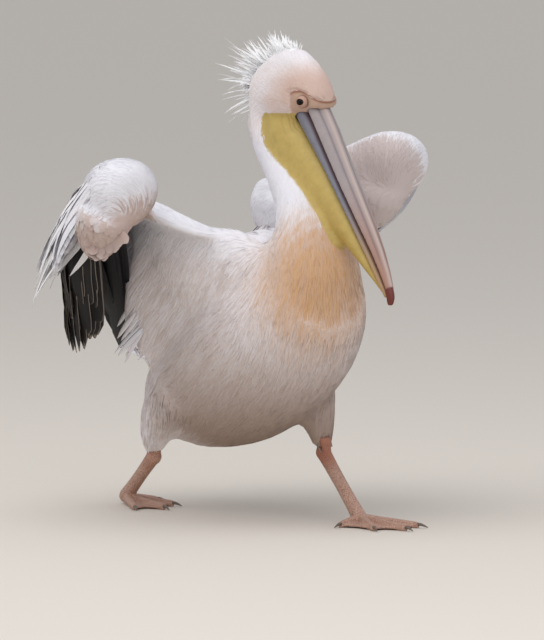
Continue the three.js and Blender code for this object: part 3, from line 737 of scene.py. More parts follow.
def makeSkinFinish(name):   # soft skin: under the coat, naked round the eye, yellow on the pouch
    material, tree, shader = startMaterial(name)
    where = addNode(tree, "TexCoord").outputs["Object"]
    mottle = addNode(tree, "TexNoise", {"Vector": where, "Scale": 70.0, "Detail": 6.0, "Roughness": 0.65})
    pores = addNode(tree, "TexVoronoi", {"Vector": where, "Scale": 700.0})
    naked = addNode(tree, "Mix", {0: mottle.outputs["Fac"], 6: colour("#ab8a76"), 7: colour("#cbac98")},
                    data_type="RGBA")
    yellow = addNode(tree, "Mix", {0: mottle.outputs["Fac"], 6: colour("#ab8f49"), 7: colour("#cdb56a")},
                     data_type="RGBA")
    base = plumageColour(tree, plumageTints)
    for key, tint in (("bare", naked), ("pouch", yellow)):
        share = addNode(tree, "Attribute", attribute_name=key).outputs["Fac"]
        base = addNode(tree, "Mix", {0: share, 6: base, 7: tint.outputs[2]}, data_type="RGBA").outputs[2]
    # painted shade in the gape's folds, and a painted shadow under the brow
    base = layTints(tree, base, (("creaseShade", "#86613f"), ("brow", "#8a4f36")))
    relief = addNode(tree, "Math", {0: mottle.outputs["Fac"], 1: pores.outputs["Distance"]}, operation="ADD")
    bump = addNode(tree, "Bump", {"Strength": 0.35, "Distance": 0.0007, "Height": relief.outputs[0]})
    setInputs(tree, shader, {"Base Color": base, "Normal": bump.outputs[0], "Roughness": 0.55})
    return material


plumage = makePlumage("Feather_white", plumageTints)
# a brighter copy of the plumage for the crest: painted light that offsets the shade among its crowded tufts
litCrestPlumage = makePlumage("Feather_crest_lit", {**plumageTints, "pale": "#fcfcfd", "white": "#fcfcfd"})
naked = bareShare(places(skin))
paint(skin, "bare", naked)
paint(skin, "pouch", yellow)
# painted shade in the folds at the corner of the gape
paint(skin, "creaseShade", 0.35 * creases)
for name, value in markings(places(skin)).items():
    paint(skin, name, value)
# painted shadow on the skin under the brow's feather edge
paint(skin, "brow", browShadowShare(places(skin), markSettings["lid"]) * (places(skin)[:, 2] > headFoot))
paint(skin, "tone", np.full(len(skin.data.vertices), 0.4))
wear(skin, makeSkinFinish("Pelican_skin"))
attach(skin, "root")
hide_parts(*bodyFlesh)

# Body coat: vanes sown over the skin

skinFaces = faceTable(skin)
skinTree = BVHTree.FromPolygons(places(skin).tolist(), skinFaces["corners"].tolist())
faceLie = lie[skinFaces["corners"]].mean(1)
faceNormal = unit(unit(blur(normals(skin), edges, 5))[skinFaces["corners"]].mean(1))
laying = {
    "bare": (0.21, 0.80),      # shares of a vane's length and width that the next ones leave free
    "sway": 0.07, "wander": (0.14, 0.035, 7),      # turns aside: at random, and share, size and seed
    "long": (0.75, 1.2), "wide": (0.85, 1.15), "camber": 0.14, "tilt": 0.04,
    "lift": (0.55, 0.7), "liftWander": (0.35, 0.03, 11),
    "sunk": 0.0009,            # the root's end is out of sight under the skin
    "stepTurn": 0.80, "wholeTurn": 0.45,      # cosines past which a vane would fold, and is left out
}


def sow(share):   # roots spread over the skin, closer where the vanes are small
    corners = skinFaces["corners"]
    longShare, wideShare = laying["bare"]
    cell = (sizes["long"] * longShare * sizes["wide"] * wideShare)[corners].mean(1)
    wanted = np.cumsum(skinFaces["area"] / cell * share[corners].mean(1))
    count = int(wanted[-1])
    picks = np.searchsorted(wanted, np.arange(count) + rng.random(count)).clip(0, len(cell) - 1)
    a, b = rng.random(count), rng.random(count)
    flip = a + b > 1
    a[flip], b[flip] = 1 - a[flip], 1 - b[flip]
    parts = np.stack([1 - a - b, a, b], 1)[:, :, None]
    return {"face": picks, "at": (skinFaces["at"][picks] * parts).sum(1),
            "unwrap": (skinFaces["unwrap"][picks] * parts).sum(1),
            **{key: (value[corners[picks]] * parts[:, :, 0]).sum(1) for key, value in sizes.items()}}


def snap(points):   # nearest places on the skin, with normals and the lie there
    found = [skinTree.find_nearest(p) for p in points.tolist()]
    faces = np.array([f[2] for f in found])
    return np.array([f[0] for f in found]), faceNormal[faces], faceLie[faces]


pointedVane = {"rows": (0.0, 0.34, 0.70, 1.0), "widths": (0.55, 1.0, 0.80, 0.0)}
bluntVane = {"rows": (0.0, 0.40, 0.82, 1.0), "widths": (0.6, 1.0, 0.92, 0.42)}


def layVanes(name, roots, vane):
    count = len(roots["at"])
    at, normal, way = snap(roots["at"])
    share, size, seed = laying["wander"]
    turn = rng.normal(0, laying["sway"], count) + share * ripple(roots["at"], size, seed)
    aside = np.cross(normal, way)
    way = unit(way * np.cos(turn)[:, None] + aside * np.sin(turn)[:, None])
    reach = roots["long"] * rng.uniform(*laying["long"], count)
    straight = at.copy()
    (least, loose), (share, size, seed) = laying["lift"], laying["liftWander"]
    lift = roots["lift"] * (least + loose * rng.random(count) + share * ripple(roots["at"], size, seed))
    spine, across, above = [], [], []
    for row, share in enumerate(vane["rows"]):
        if row:
            step = (share - vane["rows"][row - 1]) * reach[:, None]
            straight = straight + way * step
            at, newNormal, newWay = snap(at + way * step)
            normal = unit(0.6 * normal + newNormal)
            way = unit(tangentPart(way, normal) + 0.35 * newWay)
        off = straight - at
        off = (off - np.minimum((off * normal).sum(1), 0)[:, None] * normal) * roots["stiff"][:, None]
        sunk = 0.0 if row else laying["sunk"]
        spine.append(at + off + normal * (lift * (share - 0.25) - sunk)[:, None])
        across.append(unit(np.cross(normal, way)))
        above.append(normal)
    spine, across, above = (np.stack(values, 1) for values in (spine, across, above))
    tilt = rng.normal(0, laying["tilt"], count)[:, None, None]
    across, above = unit(across + above * tilt), unit(above - across * tilt)
    wide = roots["wide"] * rng.uniform(*laying["wide"], count) / 2
    half = wide[:, None] * np.array(vane["widths"])[None]
    painted = {"tone": rng.random(count), **markings(roots["at"])}
    turns = (above[:, 1:] * above[:, :-1]).sum(2).min(1)
    flat = (turns > laying["stepTurn"]) & ((above[:, 0] * above[:, -1]).sum(1) > laying["wholeTurn"])
    painted = {key: value[flat] for key, value in painted.items()}
    return slips(name, spine[flat], across[flat], above[flat], half[flat], laying["camber"],
                 roots["unwrap"][flat], painted, plumage)


coatPieces = {
    "coat_head": (("head", "face"), pointedVane), "coat_neck": (("neck",), pointedVane),
    "coat_breast": (("breast",), pointedVane), "coat_trunk": (("trunk",), pointedVane),
    "coat_mantle": (("mantle",), pointedVane), "coat_thighs": (("thigh",), pointedVane),
    "coat_arms": (("upper_arm", "patagium"), pointedVane), "coat_sides": (("axillaries",), pointedVane),
    "coat_wrists": (("forearm",), pointedVane), "coat_hands": (("hand",), bluntVane),
}
vaneLimit = 11000   # vanes in one piece, which keeps it under 200,000 triangles
bald = (naked > 0.5) | (yellow > 0.5) | thighEnds
for name, (parts, vane) in coatPieces.items():
    share = (np.isin(labels, [partNames.index(n) for n in parts]) & ~bald).astype(float)
    roots = sow(share)
    count = len(roots["at"])
    batches = max(1, -(-count // vaneLimit))
    order = np.argsort(roots["at"][:, 1])
    for number, chosen in enumerate(np.array_split(order, batches)):
        layVanes(f"{name}_{number + 1}", {key: value[chosen] for key, value in roots.items()}, vane)
    print(name, count, "vanes")


# Crest: short tufts lying back over the crown, and long loose plumes that rise off it

crest = {
    "middle": (-0.080, 0.020),      # ahead of and above the eyes: the roots are found round this place
    "turns": (72, 110, 145, 175, 202),       # degrees round the skull from straight ahead, brow to nape
    "leave": (104, 124, 146, 168, 198),      # where a plume from each of those points, in degrees
    "long": (0.024, 0.050, 0.086, 0.096, 0.062), "longShare": (0.45, 1.05), "longLeast": 0.014,
    "skull": 0.11,                  # radius on which the places lie before they drop on the skin
    "turnLoose": 8, "fanWide": 0.035, "fanLoose": 0.12, "riseWide": 0.045,
    "sag": (0.02, 0.26), "sunk": 0.001, "roll": 0.3,
    "widths": ((0, 0.3, 0.75, 1), (0.8, 1.0, 0.55, 0.0)), "wideShare": (0.7, 1.2),
    # pale: painted light over the whole crest
    "camber": 0.4, "pale": 0.8, "lit": 0.4,
    "layers": (
        {"name": "crest_tufts", "count": 4300, "rows": 6, "wide": 0.0032, "reach": 0.38, "spread": 0.031,
         "rise": 0.20},
        {"name": "crest_plumes", "count": 210, "rows": 9, "wide": 0.0034, "reach": 1.0, "spread": 0.012,
         "rise": 1.0},
    ),
}


def makeCrest(layer):
    count, rows = layer["count"], layer["rows"]
    up = np.array([0, 0, 1.0])
    place = rng.uniform(crest["turns"][0], crest["turns"][-1], count)
    aside = rng.normal(0, layer["spread"], count)
    ring = np.cos(np.radians(place))[:, None] * headAhead + np.sin(np.radians(place))[:, None] * up
    start = headMiddle + crest["middle"][0] * headAhead + crest["middle"][1] * up + crest["skull"] * ring
    root, normal, way = snap(start + headAside * aside[:, None])
    leave = np.interp(place, crest["turns"], crest["leave"])
    turn = np.radians(leave + rng.normal(0, crest["turnLoose"], count))
    out = np.cos(turn)[:, None] * headAhead + np.sin(turn)[:, None] * up
    fan = aside / crest["fanWide"] + rng.normal(0, crest["fanLoose"], count)
    out = unit(out + headAside * fan[:, None])
    rise = (layer["rise"] * np.exp(-(aside / crest["riseWide"]) ** 2))[:, None]
    out = unit(rise * out + (1 - rise) * way)
    long = np.interp(place, crest["turns"], crest["long"])
    long = np.maximum(long * rng.uniform(*crest["longShare"], count) * layer["reach"], crest["longLeast"])
    sag = long * rng.uniform(*crest["sag"], count)
    steps = np.linspace(0, 1, rows)
    spine = (root - normal * crest["sunk"])[:, None] + out[:, None] * (long[:, None] * steps)[..., None]
    spine = spine - up * (sag[:, None] * steps ** 2)[..., None]
    run = unit(np.gradient(spine, axis=1))
    rolled = unit(normal + crest["roll"] * rng.normal(size=normal.shape))
    across = unit(np.cross(rolled[:, None], run))
    above = np.cross(run, across)
    widths = np.interp(steps, *crest["widths"])
    half = layer["wide"] / 2 * widths[None] * rng.uniform(*crest["wideShare"], count)[:, None]
    painted = {"tone": 0.75 + 0.25 * rng.random(count), **markings(root)}
    # painted light over the crest
    painted["pale"] = np.maximum(painted["pale"], crest["pale"])
    face = np.array([skinTree.find_nearest(p)[2] for p in root.tolist()])
    return slips(layer["name"], spine, across, above, half, crest["camber"],
                 skinFaces["unwrap"][face].mean(1), painted, litCrestPlumage,
                 unit(crest["lit"] * normal + up))


for layer in crest["layers"]:
    plumes = makeCrest(layer)
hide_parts("crest")
print("crest")


# Wing and tail feathers, one by one

def bowed(a, b, c):   # a curve from a to c, drawn towards b
    a, b, c = (np.asarray(p, float) for p in (a, b, c))
    return lambda t: a * (1 - t) ** 2 + 2 * b * t * (1 - t) + c * t ** 2


def straightLine(a, c):
    a, c = np.asarray(a, float), np.asarray(c, float)
    return lambda t: a + (c - a) * t


plainFeather = {"reach": 1.0, "uneven": 0.03, "stray": 0.002, "bend": 0.0, "height": 0.0, "shingle": 0.18,
                "camber": 1.0, "pale": 0.0, "buff": 0.0}      # what a row has unless it says otherwise
featherColumns = np.array([-1.0, -0.5, 0.0, 0.5, 1.0])
featherCrown = np.array([0.0, 0.10, 0.20, 0.10, 0.0])         # camber over the half width
shaftThick = np.array([0.35, 0.5, 1.6, 0.5, 0.35])            # and thickness, from edge to edge


def layFeathers(name, rootLine, tipLine, feather, material, outward, lit=0.0):
    # a row of quills from one line to another, each a closed vane over a shaft, shingled edge over edge
    feather = {**plainFeather, **feather}
    count, rows = feather["count"], feather["rows"]
    share = (np.arange(count) + 0.5) / count
    jitter = lambda amount: rng.normal(0, amount, (count, 3))
    root = np.stack([rootLine(t) for t in share]) + jitter(feather["stray"] * 0.3)
    tip = np.stack([tipLine(t) for t in share])
    reach = feather["reach"] + rng.normal(0, feather["uneven"], (count, 1))
    tip = root + (tip - root) * reach
    tip += jitter(feather["stray"])
    run = tip - root
    rowWay = np.gradient(root + tip, axis=0)
    normal = unit(np.cross(run, rowWay))
    flip = np.sign((normal * np.asarray(outward)).sum(1, keepdims=True))
    normal = normal * np.where(flip == 0, 1, flip)
    aside = unit(np.cross(normal, run))
    steps = np.linspace(0, 1, rows)
    spine = root[:, None] + run[:, None] * steps[None, :, None]
    spine += normal[:, None] * (feather["bend"] * np.sin(pi * steps))[None, :, None]
    spine += normal[:, None] * feather["height"]
    level = unit(aside + normal * feather["shingle"])
    rise = unit(np.cross(unit(run), level))
    rise = rise * np.sign((rise * normal).sum(1, keepdims=True))
    profile = np.interp(steps, *feather["profile"])
    columns, crown = featherColumns, featherCrown * feather["camber"]
    half = feather["wide"] / 2 * rng.uniform(0.92, 1.08, count)
    width = half[:, None] * profile[None]
    top = (spine[:, :, None] + level[:, None, None] * (width[:, :, None] * columns)[..., None]
           + rise[:, None, None] * (width[:, :, None] * crown)[..., None])
    shaft = feather["thick"] * shaftThick
    under = top - rise[:, None, None] * (shaft[None, None] * np.ones((count, rows, 1)))[..., None]
    top = top + rise[:, None, None] * (np.array([0, 0, 0.5, 0, 0]) * feather["thick"])[None, None, :, None]
    points = np.concatenate([top.reshape(count, -1, 3), under.reshape(count, -1, 3)], 1)
    wideCount = len(columns)
    below = rows * wideCount
    quads = []
    for row in range(rows - 1):
        for column in range(wideCount - 1):
            a = row * wideCount + column
            quads.append((a, a + wideCount, a + wideCount + 1, a + 1))
            quads.append((below + a, below + a + 1, below + a + wideCount + 1, below + a + wideCount))
        for a, order in ((row * wideCount, -1), (row * wideCount + wideCount - 1, 1)):
            ring = (a, a + wideCount, below + a + wideCount, below + a)
            quads.append(ring[::order])
    last = (rows - 1) * wideCount
    for column in range(wideCount - 1):
        a = last + column
        quads.append((a, below + a, below + a + 1, a + 1))
        quads.append((column, column + 1, below + column + 1, below + column))
    each = points.shape[1]
    across = np.tile(np.tile(columns, rows), 2)
    along = np.tile(np.repeat(steps, wideCount), 2)
    cellU = (np.arange(count)[:, None] + 0.5 + 0.44 * across[None]) / count
    unwrap = np.stack([cellU, np.broadcast_to(0.02 + 0.96 * along, cellU.shape)], 2)
    # the pale share is painted light on the row
    painted = {"tone": np.repeat(rng.random(count), each), "along": np.tile(along, count),
               "across": np.tile(across, count), "pale": np.full(count * each, feather["pale"]),
               "buff": np.full(count * each, feather["buff"]),
               "rank": np.repeat(share, each)}
    leans = None
    if lit:      # soft white vanes take the light as one mass
        leans = unit(np.repeat(rise[:, None], each, 1) * (1 - lit) + np.array([0, 0, 1.0]) * lit)
    return buildMany(name, points, quads, [], unwrap, painted, material, leans)


def makeQuill(name, web, edge, shaftTint, edgeWide, sheen, shine):
    # a flight feather, of glossy barbs: web, paler fringe and shaft
    material, tree, shader = startMaterial(name)
    read = {key: addNode(tree, "Attribute", attribute_name=key).outputs["Fac"]
            for key in ("across", "along", "tone", "rank")}
    reach = addNode(tree, "Math", {0: read["across"]}, operation="ABSOLUTE")
    tip = addNode(tree, "MapRange", {"Value": read["along"], "From Min": 0.945, "From Max": 0.975})
    border = addNode(tree, "MapRange", {"Value": reach.outputs[0], "From Min": 1 - edgeWide,
                                        "From Max": 1.0})
    fringe = addNode(tree, "Math", {0: border.outputs[0], 1: tip.outputs[0]}, operation="MAXIMUM")
    stem = addNode(tree, "MapRange", {"Value": reach.outputs[0], "From Min": 0.14, "From Max": 0.06})
    last = addNode(tree, "MapRange", {"Value": read["rank"], "From Min": 0.90, "From Max": 0.94})
    stemTint = addNode(tree, "Mix", {0: last.outputs[0], 6: colour(shaftTint), 7: colour("#d6cdc2")},
                       data_type="RGBA")
    barbs = addNode(tree, "Math", {0: read["along"], 1: reach.outputs[0]}, operation="ADD")
    barbs = addNode(tree, "Math", {0: barbs.outputs[0], 1: 260.0}, operation="MULTIPLY")
    barbs = addNode(tree, "Math", {0: barbs.outputs[0]}, operation="SINE")
    base = addNode(tree, "Mix", {0: fringe.outputs[0], 6: colour(web), 7: colour(edge)}, data_type="RGBA")
    base = addNode(tree, "Mix", {0: stem.outputs[0], 6: base.outputs[2], 7: stemTint.outputs[2]},
                   data_type="RGBA")
    bump = addNode(tree, "Bump", {"Strength": 0.25, "Distance": 0.0006, "Height": barbs.outputs[0]})
    setInputs(tree, shader, {"Base Color": base.outputs[2], "Normal": bump.outputs[0], "Roughness": sheen,
                             "IOR": keratinIor, "Specular IOR Level": shine})
    return material


quillWhite = makeQuill("Feather_vane_white", "#f3f2f5", "#f8f7fa", "#f0eae4", 0.3, 0.7, 0.3)
quillBlack = makeQuill("Feather_vane_black", "#0d0d11", "#141418", "#1d1b1b", 0.15, 0.6, 0.2)
quillGrey = makeQuill("Feather_vane_grey", "#1f1e1f", "#988d83", "#2b2826", 0.08, 0.65, 0.2)

spade = ((0, 0.2, 0.6, 0.85, 1), (0.5, 0.9, 1.0, 0.72, 0.16))
lancet = ((0, 0.2, 0.55, 0.85, 1), (0.35, 0.85, 1.0, 0.55, 0.06))
oar = ((0, 0.10, 0.3, 0.75, 0.92, 1), (0.25, 0.7, 1.0, 1.0, 0.72, 0.12))

# a row's pale share is painted light, lightening it towards the pale tint
featherSettings = {
    "primaries": {"count": 10, "rows": 9, "wide": 0.030, "thick": 0.0009, "profile": oar, "bend": 0.006},
    "secondaries": {"count": 16, "rows": 9, "wide": 0.036, "thick": 0.0008, "profile": oar, "bend": 0.010,
                    "uneven": 0.02},
    "underCoverts": {"count": 7, "rows": 10, "wide": 0.044, "thick": 0.0006, "profile": oar, "bend": 0.010,
                     "uneven": 0.03, "stray": 0.003, "shingle": 0.10},
    "coverts": {"count": 34, "rows": 9, "wide": 0.0165, "thick": 0.0006, "profile": lancet, "bend": 0.012,
                "uneven": 0.08, "stray": 0.006, "height": 0.006},
    "medianCoverts": {"count": 44, "rows": 8, "wide": 0.0130, "thick": 0.0005, "profile": lancet,
                      "bend": 0.012, "reach": 0.78, "height": 0.010, "uneven": 0.08, "stray": 0.005},
    "lesserCoverts": {"count": 44, "rows": 7, "wide": 0.0130, "thick": 0.0005, "profile": lancet,
                      "bend": 0.010, "reach": 0.52, "height": 0.013, "uneven": 0.08, "stray": 0.004},
    "wristCoverts": {"count": 40, "rows": 8, "wide": 0.015, "thick": 0.0005, "profile": lancet,
                     "bend": 0.012, "uneven": 0.10, "stray": 0.005, "pale": 0.7},
    "flankTips": {"count": 11, "rows": 7, "wide": 0.011, "thick": 0.0006, "profile": lancet, "bend": 0.003,
                  "uneven": 0.10, "stray": 0.004, "height": 0.001, "pale": 0.6},
    "handCoverts": {"count": 15, "rows": 7, "wide": 0.0190, "thick": 0.0005, "profile": spade, "bend": 0.0,
                    # buff here: the underwing's buff with painted shade in it
                    "uneven": 0.22, "stray": 0.003, "buff": 0.9, "camber": 0.1, "shingle": 0.05},
    "tertials": {"count": 13, "rows": 9, "wide": 0.021, "thick": 0.0008, "profile": oar, "bend": 0.008,
                 "uneven": 0.05, "pale": 0.6},
    "tail": {"count": 20, "rows": 8, "wide": 0.024, "thick": 0.0008, "profile": oar, "bend": 0.004},
}


# where the roots and the tips of each row lie: metres ahead, outwards and up from the middle of
# the wrist or from the elbow; a middle point draws the line towards it
wingLines = {
    "primaries": ((("wrist", -0.055, -0.027, -0.070), ("wrist", -0.101, 0.034, -0.078)),
                  (("elbow", -0.140, -0.089, -0.279), ("elbow", -0.057, -0.014, -0.200))),
    "secondaries": ((("wrist", -0.095, 0.004, -0.072), ("wrist", -0.145, 0.066, -0.044),
                     ("elbow", 0.015, 0.023, -0.010)),
                    (("wrist", -0.261, -0.104, -0.266), ("wrist", -0.321, -0.070, -0.344),
                     ("elbow", -0.125, 0.036, -0.200))),
    "coverts": ((("wrist", 0.020, 0.020, -0.020), ("wrist", -0.015, 0.076, 0.020),
                 ("elbow", 0.030, 0.054, 0.034)),
                (("wrist", -0.237, 0.008, -0.186), ("wrist", -0.290, 0.012, -0.176),
                 ("elbow", -0.095, 0.078, -0.086))),
    "tertials": ((("elbow", 0.025, 0.008, -0.014), ("elbow", 0.085, -0.042, -0.050)),
                 (("elbow", -0.140, 0.030, -0.162), ("elbow", -0.125, -0.052, -0.192))),
    "wristCoverts": ((("wrist", -0.010, 0.034, 0.055), ("wrist", -0.013, 0.068, -0.022)),
                     (("wrist", -0.170, 0.020, -0.090), ("wrist", -0.150, 0.048, -0.150))),
    "flankTips": ((("elbow", 0.084, 0.010, -0.226), ("elbow", 0.068, 0.012, -0.160)),
                  (("elbow", 0.026, 0.012, -0.274), ("elbow", 0.011, 0.008, -0.206))),
}
underCovertRows = ((0.88, 0.003), (0.78, 0.006), (0.68, 0.009), (0.58, 0.012))      # reach, height
handHem = {      # the folded hand's lower edge: metres across it, and over its foot
    "roots": ((-0.040, 0.026), (-0.004, -0.036), (0.046, 0.046)),
    "tips": ((-0.054, 0.008), (-0.006, -0.072), (0.062, 0.030)),
    "facing": (0.85, 0.53), "long": 0.019, "infront": 0.05,
}


def onSkin(line):
    return lambda t: snap(line(t)[None])[0][0]


def makeWing(side):
    wrist, elbow, sign = wingPlaces(side)
    outward = (0, sign, 0.35)

    def wingLine(ends):
        places = [(wrist if start == "wrist" else elbow) + np.array([x, sign * y, z])
                  for start, x, y, z in ends]
        return bowed(*places) if len(places) == 3 else straightLine(*places)

    def layRow(name, key, feather, material, lit=0.0, facing=outward, rooted=False):
        roots, tips = (wingLine(ends) for ends in wingLines[key])
        roots = onSkin(roots) if rooted else roots
        return layFeathers(name, roots, tips, feather, material, facing, lit)

    piece = layRow(f"primary_quills_{side}", "primaries", featherSettings["primaries"], quillBlack)
    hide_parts(f"primaries_{side}")
    piece = layRow(f"secondary_quills_{side}", "secondaries", featherSettings["secondaries"], quillGrey)
    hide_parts(f"secondaries_{side}")
    for row, (reach, height) in enumerate(underCovertRows):
        feather = {**featherSettings["underCoverts"], "reach": reach, "height": height}
        layRow(f"under_coverts_{side}_{row + 1}", "secondaries", feather, quillGrey)
    for key in ("coverts", "medianCoverts", "lesserCoverts"):
        piece = layRow(f"{key}_vanes_{side}", "coverts", featherSettings[key], quillWhite, 0.35)
        if key == "coverts":
            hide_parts(f"coverts_{side}")
    piece = layRow(f"tertial_quills_{side}", "tertials", featherSettings["tertials"], plumage,
                   0.6, (0, sign * 0.3, 1))
    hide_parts(f"tertials_{side}")
    layRow(f"wrist_coverts_{side}", "wristCoverts", featherSettings["wristCoverts"], plumage, 0.6,
           rooted=True)
    layRow(f"flank_tips_{side}", "flankTips", featherSettings["flankTips"], plumage, rooted=True)
    if side == "left":      # the other hand is folded tighter and keeps a smooth edge
        return
    hand, foot = spot(f"hand_{side}", 0.5, 0.5, 0.5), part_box(f"hand_{side}")[0][2]
    ahead, outwards = handHem["facing"]
    facing, beside = np.array([ahead, sign * outwards, 0]), np.array([outwards, -sign * ahead, 0])
    rim, hem = (bowed(*[hand + facing * handHem["infront"] + beside * across + (0, 0, foot + up - hand[2])
                        for across, up in handHem[key]]) for key in ("roots", "tips"))
    roots = onSkin(rim)
    tips = lambda t: roots(t) + handHem["long"] * unit(hem(t) - rim(t))
    layFeathers(f"hand_coverts_{side}", roots, tips, featherSettings["handCoverts"], plumage,
                facing, 0.4)


for side in pairs:
    makeWing(side)

tailSettings = {      # metres from the solid tail's box; the roots lie inside the rump
    "rootAhead": 0.022, "rootAside": 0.026, "rootUp": 0.001,
    "tipAhead": 0.012, "tipAside": 0.046, "tipDown": 0.006, "middleBack": 0.006, "middleDown": 0.002,
}
low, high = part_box("tail")
tailMiddle = (low[1] + high[1]) / 2
tailRoots = [(high[0] + tailSettings["rootAhead"], tailMiddle + aside, low[2] + tailSettings["rootUp"])
             for aside in (tailSettings["rootAside"], -tailSettings["rootAside"])]
tailTips = [(low[0] + tailSettings["tipAhead"], tailMiddle + aside, high[2] - tailSettings["tipDown"])
            for aside in (tailSettings["tipAside"], -tailSettings["tipAside"])]
tailTips.insert(1, (low[0] - tailSettings["middleBack"], tailMiddle, high[2] - tailSettings["middleDown"]))
tail = layFeathers("tail_quills", straightLine(*tailRoots), bowed(*tailTips), featherSettings["tail"],
                   quillWhite, (0, 0, 1))
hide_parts("tail")
print("wing and tail feathers")


# Bill

bill = {
    "pitch": 57.4,          # how far the bill points below level, degrees
    "voxel": 0.0018, "bridge": 0.0004, "upperPasses": 10, "lowerPasses": 8,
    "sections": 60,         # slices along the bill in which its edges are found
    "ridgeHigh": 0.0010, "ridgeWide": 0.0045, "ridgeTaper": ((0, 0.05, 0.35), (0.7, 0.8, 1.3)),
    "grooveDeep": 0.0009, "grooveWide": 0.0016, "grooveAside": 2.0, "grooveStart": (0.03, 0.08),
}
billTip = spot("bill_nail", 0.5, 0.5, 0.5)
pitch = radians(bill["pitch"])
billDown = headAhead * cos(pitch) - np.array([0, 0, 1.0]) * sin(pitch)
billOver = headAhead * sin(pitch) + np.array([0, 0, 1.0]) * cos(pitch)


def inBill(points):   # metres back from the nail, across to the left, and above the bill's own axis
    away = points - billTip
    return -away @ billDown, away @ headAside, away @ billOver


def sectionShare(back, height):   # 0 at the lowest edge of each cross-section, 1 at its top
    count = bill["sections"]
    at = (back - back.min()) / (np.ptp(back) + 1e-9) * count
    bins = np.clip(at.astype(int), 0, count - 1)
    filled = np.unique(bins)
    low = np.interp(at - 0.5, filled, [height[bins == b].min() for b in filled])
    high = np.interp(at - 0.5, filled, [height[bins == b].max() for b in filled])
    return np.clip((height - low) / np.maximum(high - low, 1e-4), 0, 1)


def makeHorn(name, tints, roughness, scale):   # layered keratin, satin, grained along its length
    material, tree, shader = startMaterial(name)
    where = addNode(tree, "TexCoord").outputs["Object"]
    grain = addNode(tree, "TexNoise", {"Vector": where, "Scale": scale, "Detail": 5.0, "Roughness": 0.6})
    (dull, light), *marks = tints
    base = addNode(tree, "Mix", {0: grain.outputs["Fac"], 6: colour(dull), 7: colour(light)},
                   data_type="RGBA").outputs[2]
    bump = addNode(tree, "Bump", {"Strength": 0.3, "Distance": 0.0008, "Height": grain.outputs["Fac"]})
    setInputs(tree, shader, {"Base Color": layTints(tree, base, marks), "Normal": bump.outputs[0],
                             "Roughness": roughness})
    return material


upperBill = copyNodes("bill_upper_horn", ["bill_upper", "bill_nail"], bill["voxel"], bill["bridge"])
finishWith(upperBill, "SMOOTH", factor=0.5, iterations=bill["upperPasses"])
at, normal = places(upperBill), normals(upperBill)
back, across, height = inBill(at)
level = sectionShare(back, height)
facing = np.clip(normal @ billOver, 0, 1)
ridgeWide = bill["ridgeWide"] * np.interp(back, *bill["ridgeTaper"])
ridgeAndHighlight = np.exp(-(across / ridgeWide) ** 2) * facing
grooveAndShade = np.exp(-((np.abs(across) - bill["grooveAside"] * ridgeWide) / bill["grooveWide"]) ** 2)
grooveAndShade = grooveAndShade * facing * ramp(back, *bill["grooveStart"])
setPlaces(upperBill, at + normal * (bill["ridgeHigh"] * ridgeAndHighlight - bill["grooveDeep"] * grooveAndShade)[:, None])
# painted highlight along the raised ridge, and painted shade in the grooves beside it
paint(upperBill, "ridgeAndHighlight", np.clip(ridgeAndHighlight, 0, 1))
paint(upperBill, "grooveAndShade", np.clip(grooveAndShade, 0, 1) * 0.7)
paint(upperBill, "lower", ramp(level, 0.34, 0.10) * ramp(back, 0.01, 0.05))
paint(upperBill, "tip", ramp(back, 0.24, 0.03) * 0.9)
paint(upperBill, "nail", ramp(back, 0.0135, 0.0100))
# the ridge tint is a painted highlight, the groove tint painted shade
wear(upperBill, makeHorn("Bill_horn", [
    ("#90878a", "#a99d9a"), ("tip", "#a67a66"), ("ridgeAndHighlight", "#c4b2aa"), ("grooveAndShade", "#6f6468"),
    ("lower", "#5c3430"), ("nail", "#6b2b22")], 0.46, 90.0))
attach(upperBill, "root")
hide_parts("bill_upper", "bill_nail")

lowerBill = copyNodes("bill_lower_horn", ["bill_lower"], bill["voxel"], bill["bridge"])
finishWith(lowerBill, "SMOOTH", factor=0.5, iterations=bill["lowerPasses"])
back, across, height = inBill(places(lowerBill))
paint(lowerBill, "tip", ramp(back, 0.20, 0.04))
paint(lowerBill, "lower", ramp(sectionShare(back, height), 0.75, 1.0) * 0.8)
wear(lowerBill, makeHorn("Mandible_horn", [
    ("#6a6d7a", "#878590"), ("tip", "#b08f6a"), ("lower", "#6d4a48")], 0.45, 80.0))
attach(lowerBill, "root")
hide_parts("bill_lower")

print("bill")


# Legs

def makeScales(name, tints, roughness):   # thin horny scutes over soft skin
    material, tree, shader = startMaterial(name)
    where = addNode(tree, "TexCoord").outputs["Object"]
    cells = addNode(tree, "TexVoronoi", {"Vector": where, "Scale": 330.0}, feature="DISTANCE_TO_EDGE")
    edge = addNode(tree, "MapRange", {"Value": cells.outputs["Distance"], "From Min": 0.0, "From Max": 0.18})
    grain = addNode(tree, "TexNoise", {"Vector": where, "Scale": 60.0, "Detail": 4.0})
    base = addNode(tree, "Mix", {0: grain.outputs["Fac"], 6: colour(tints[0]), 7: colour(tints[1])},
                   data_type="RGBA").outputs[2]
    base = layTints(tree, base, [("joint", tints[2])])
    base = addNode(tree, "Mix", {0: edge.outputs[0], 6: colour(tints[3]), 7: base}, data_type="RGBA")
    bump = addNode(tree, "Bump", {"Strength": 0.5, "Distance": 0.0008, "Height": edge.outputs[0]})
    setInputs(tree, shader, {"Base Color": base.outputs[2], "Normal": bump.outputs[0],
                             "Roughness": roughness})
    return material


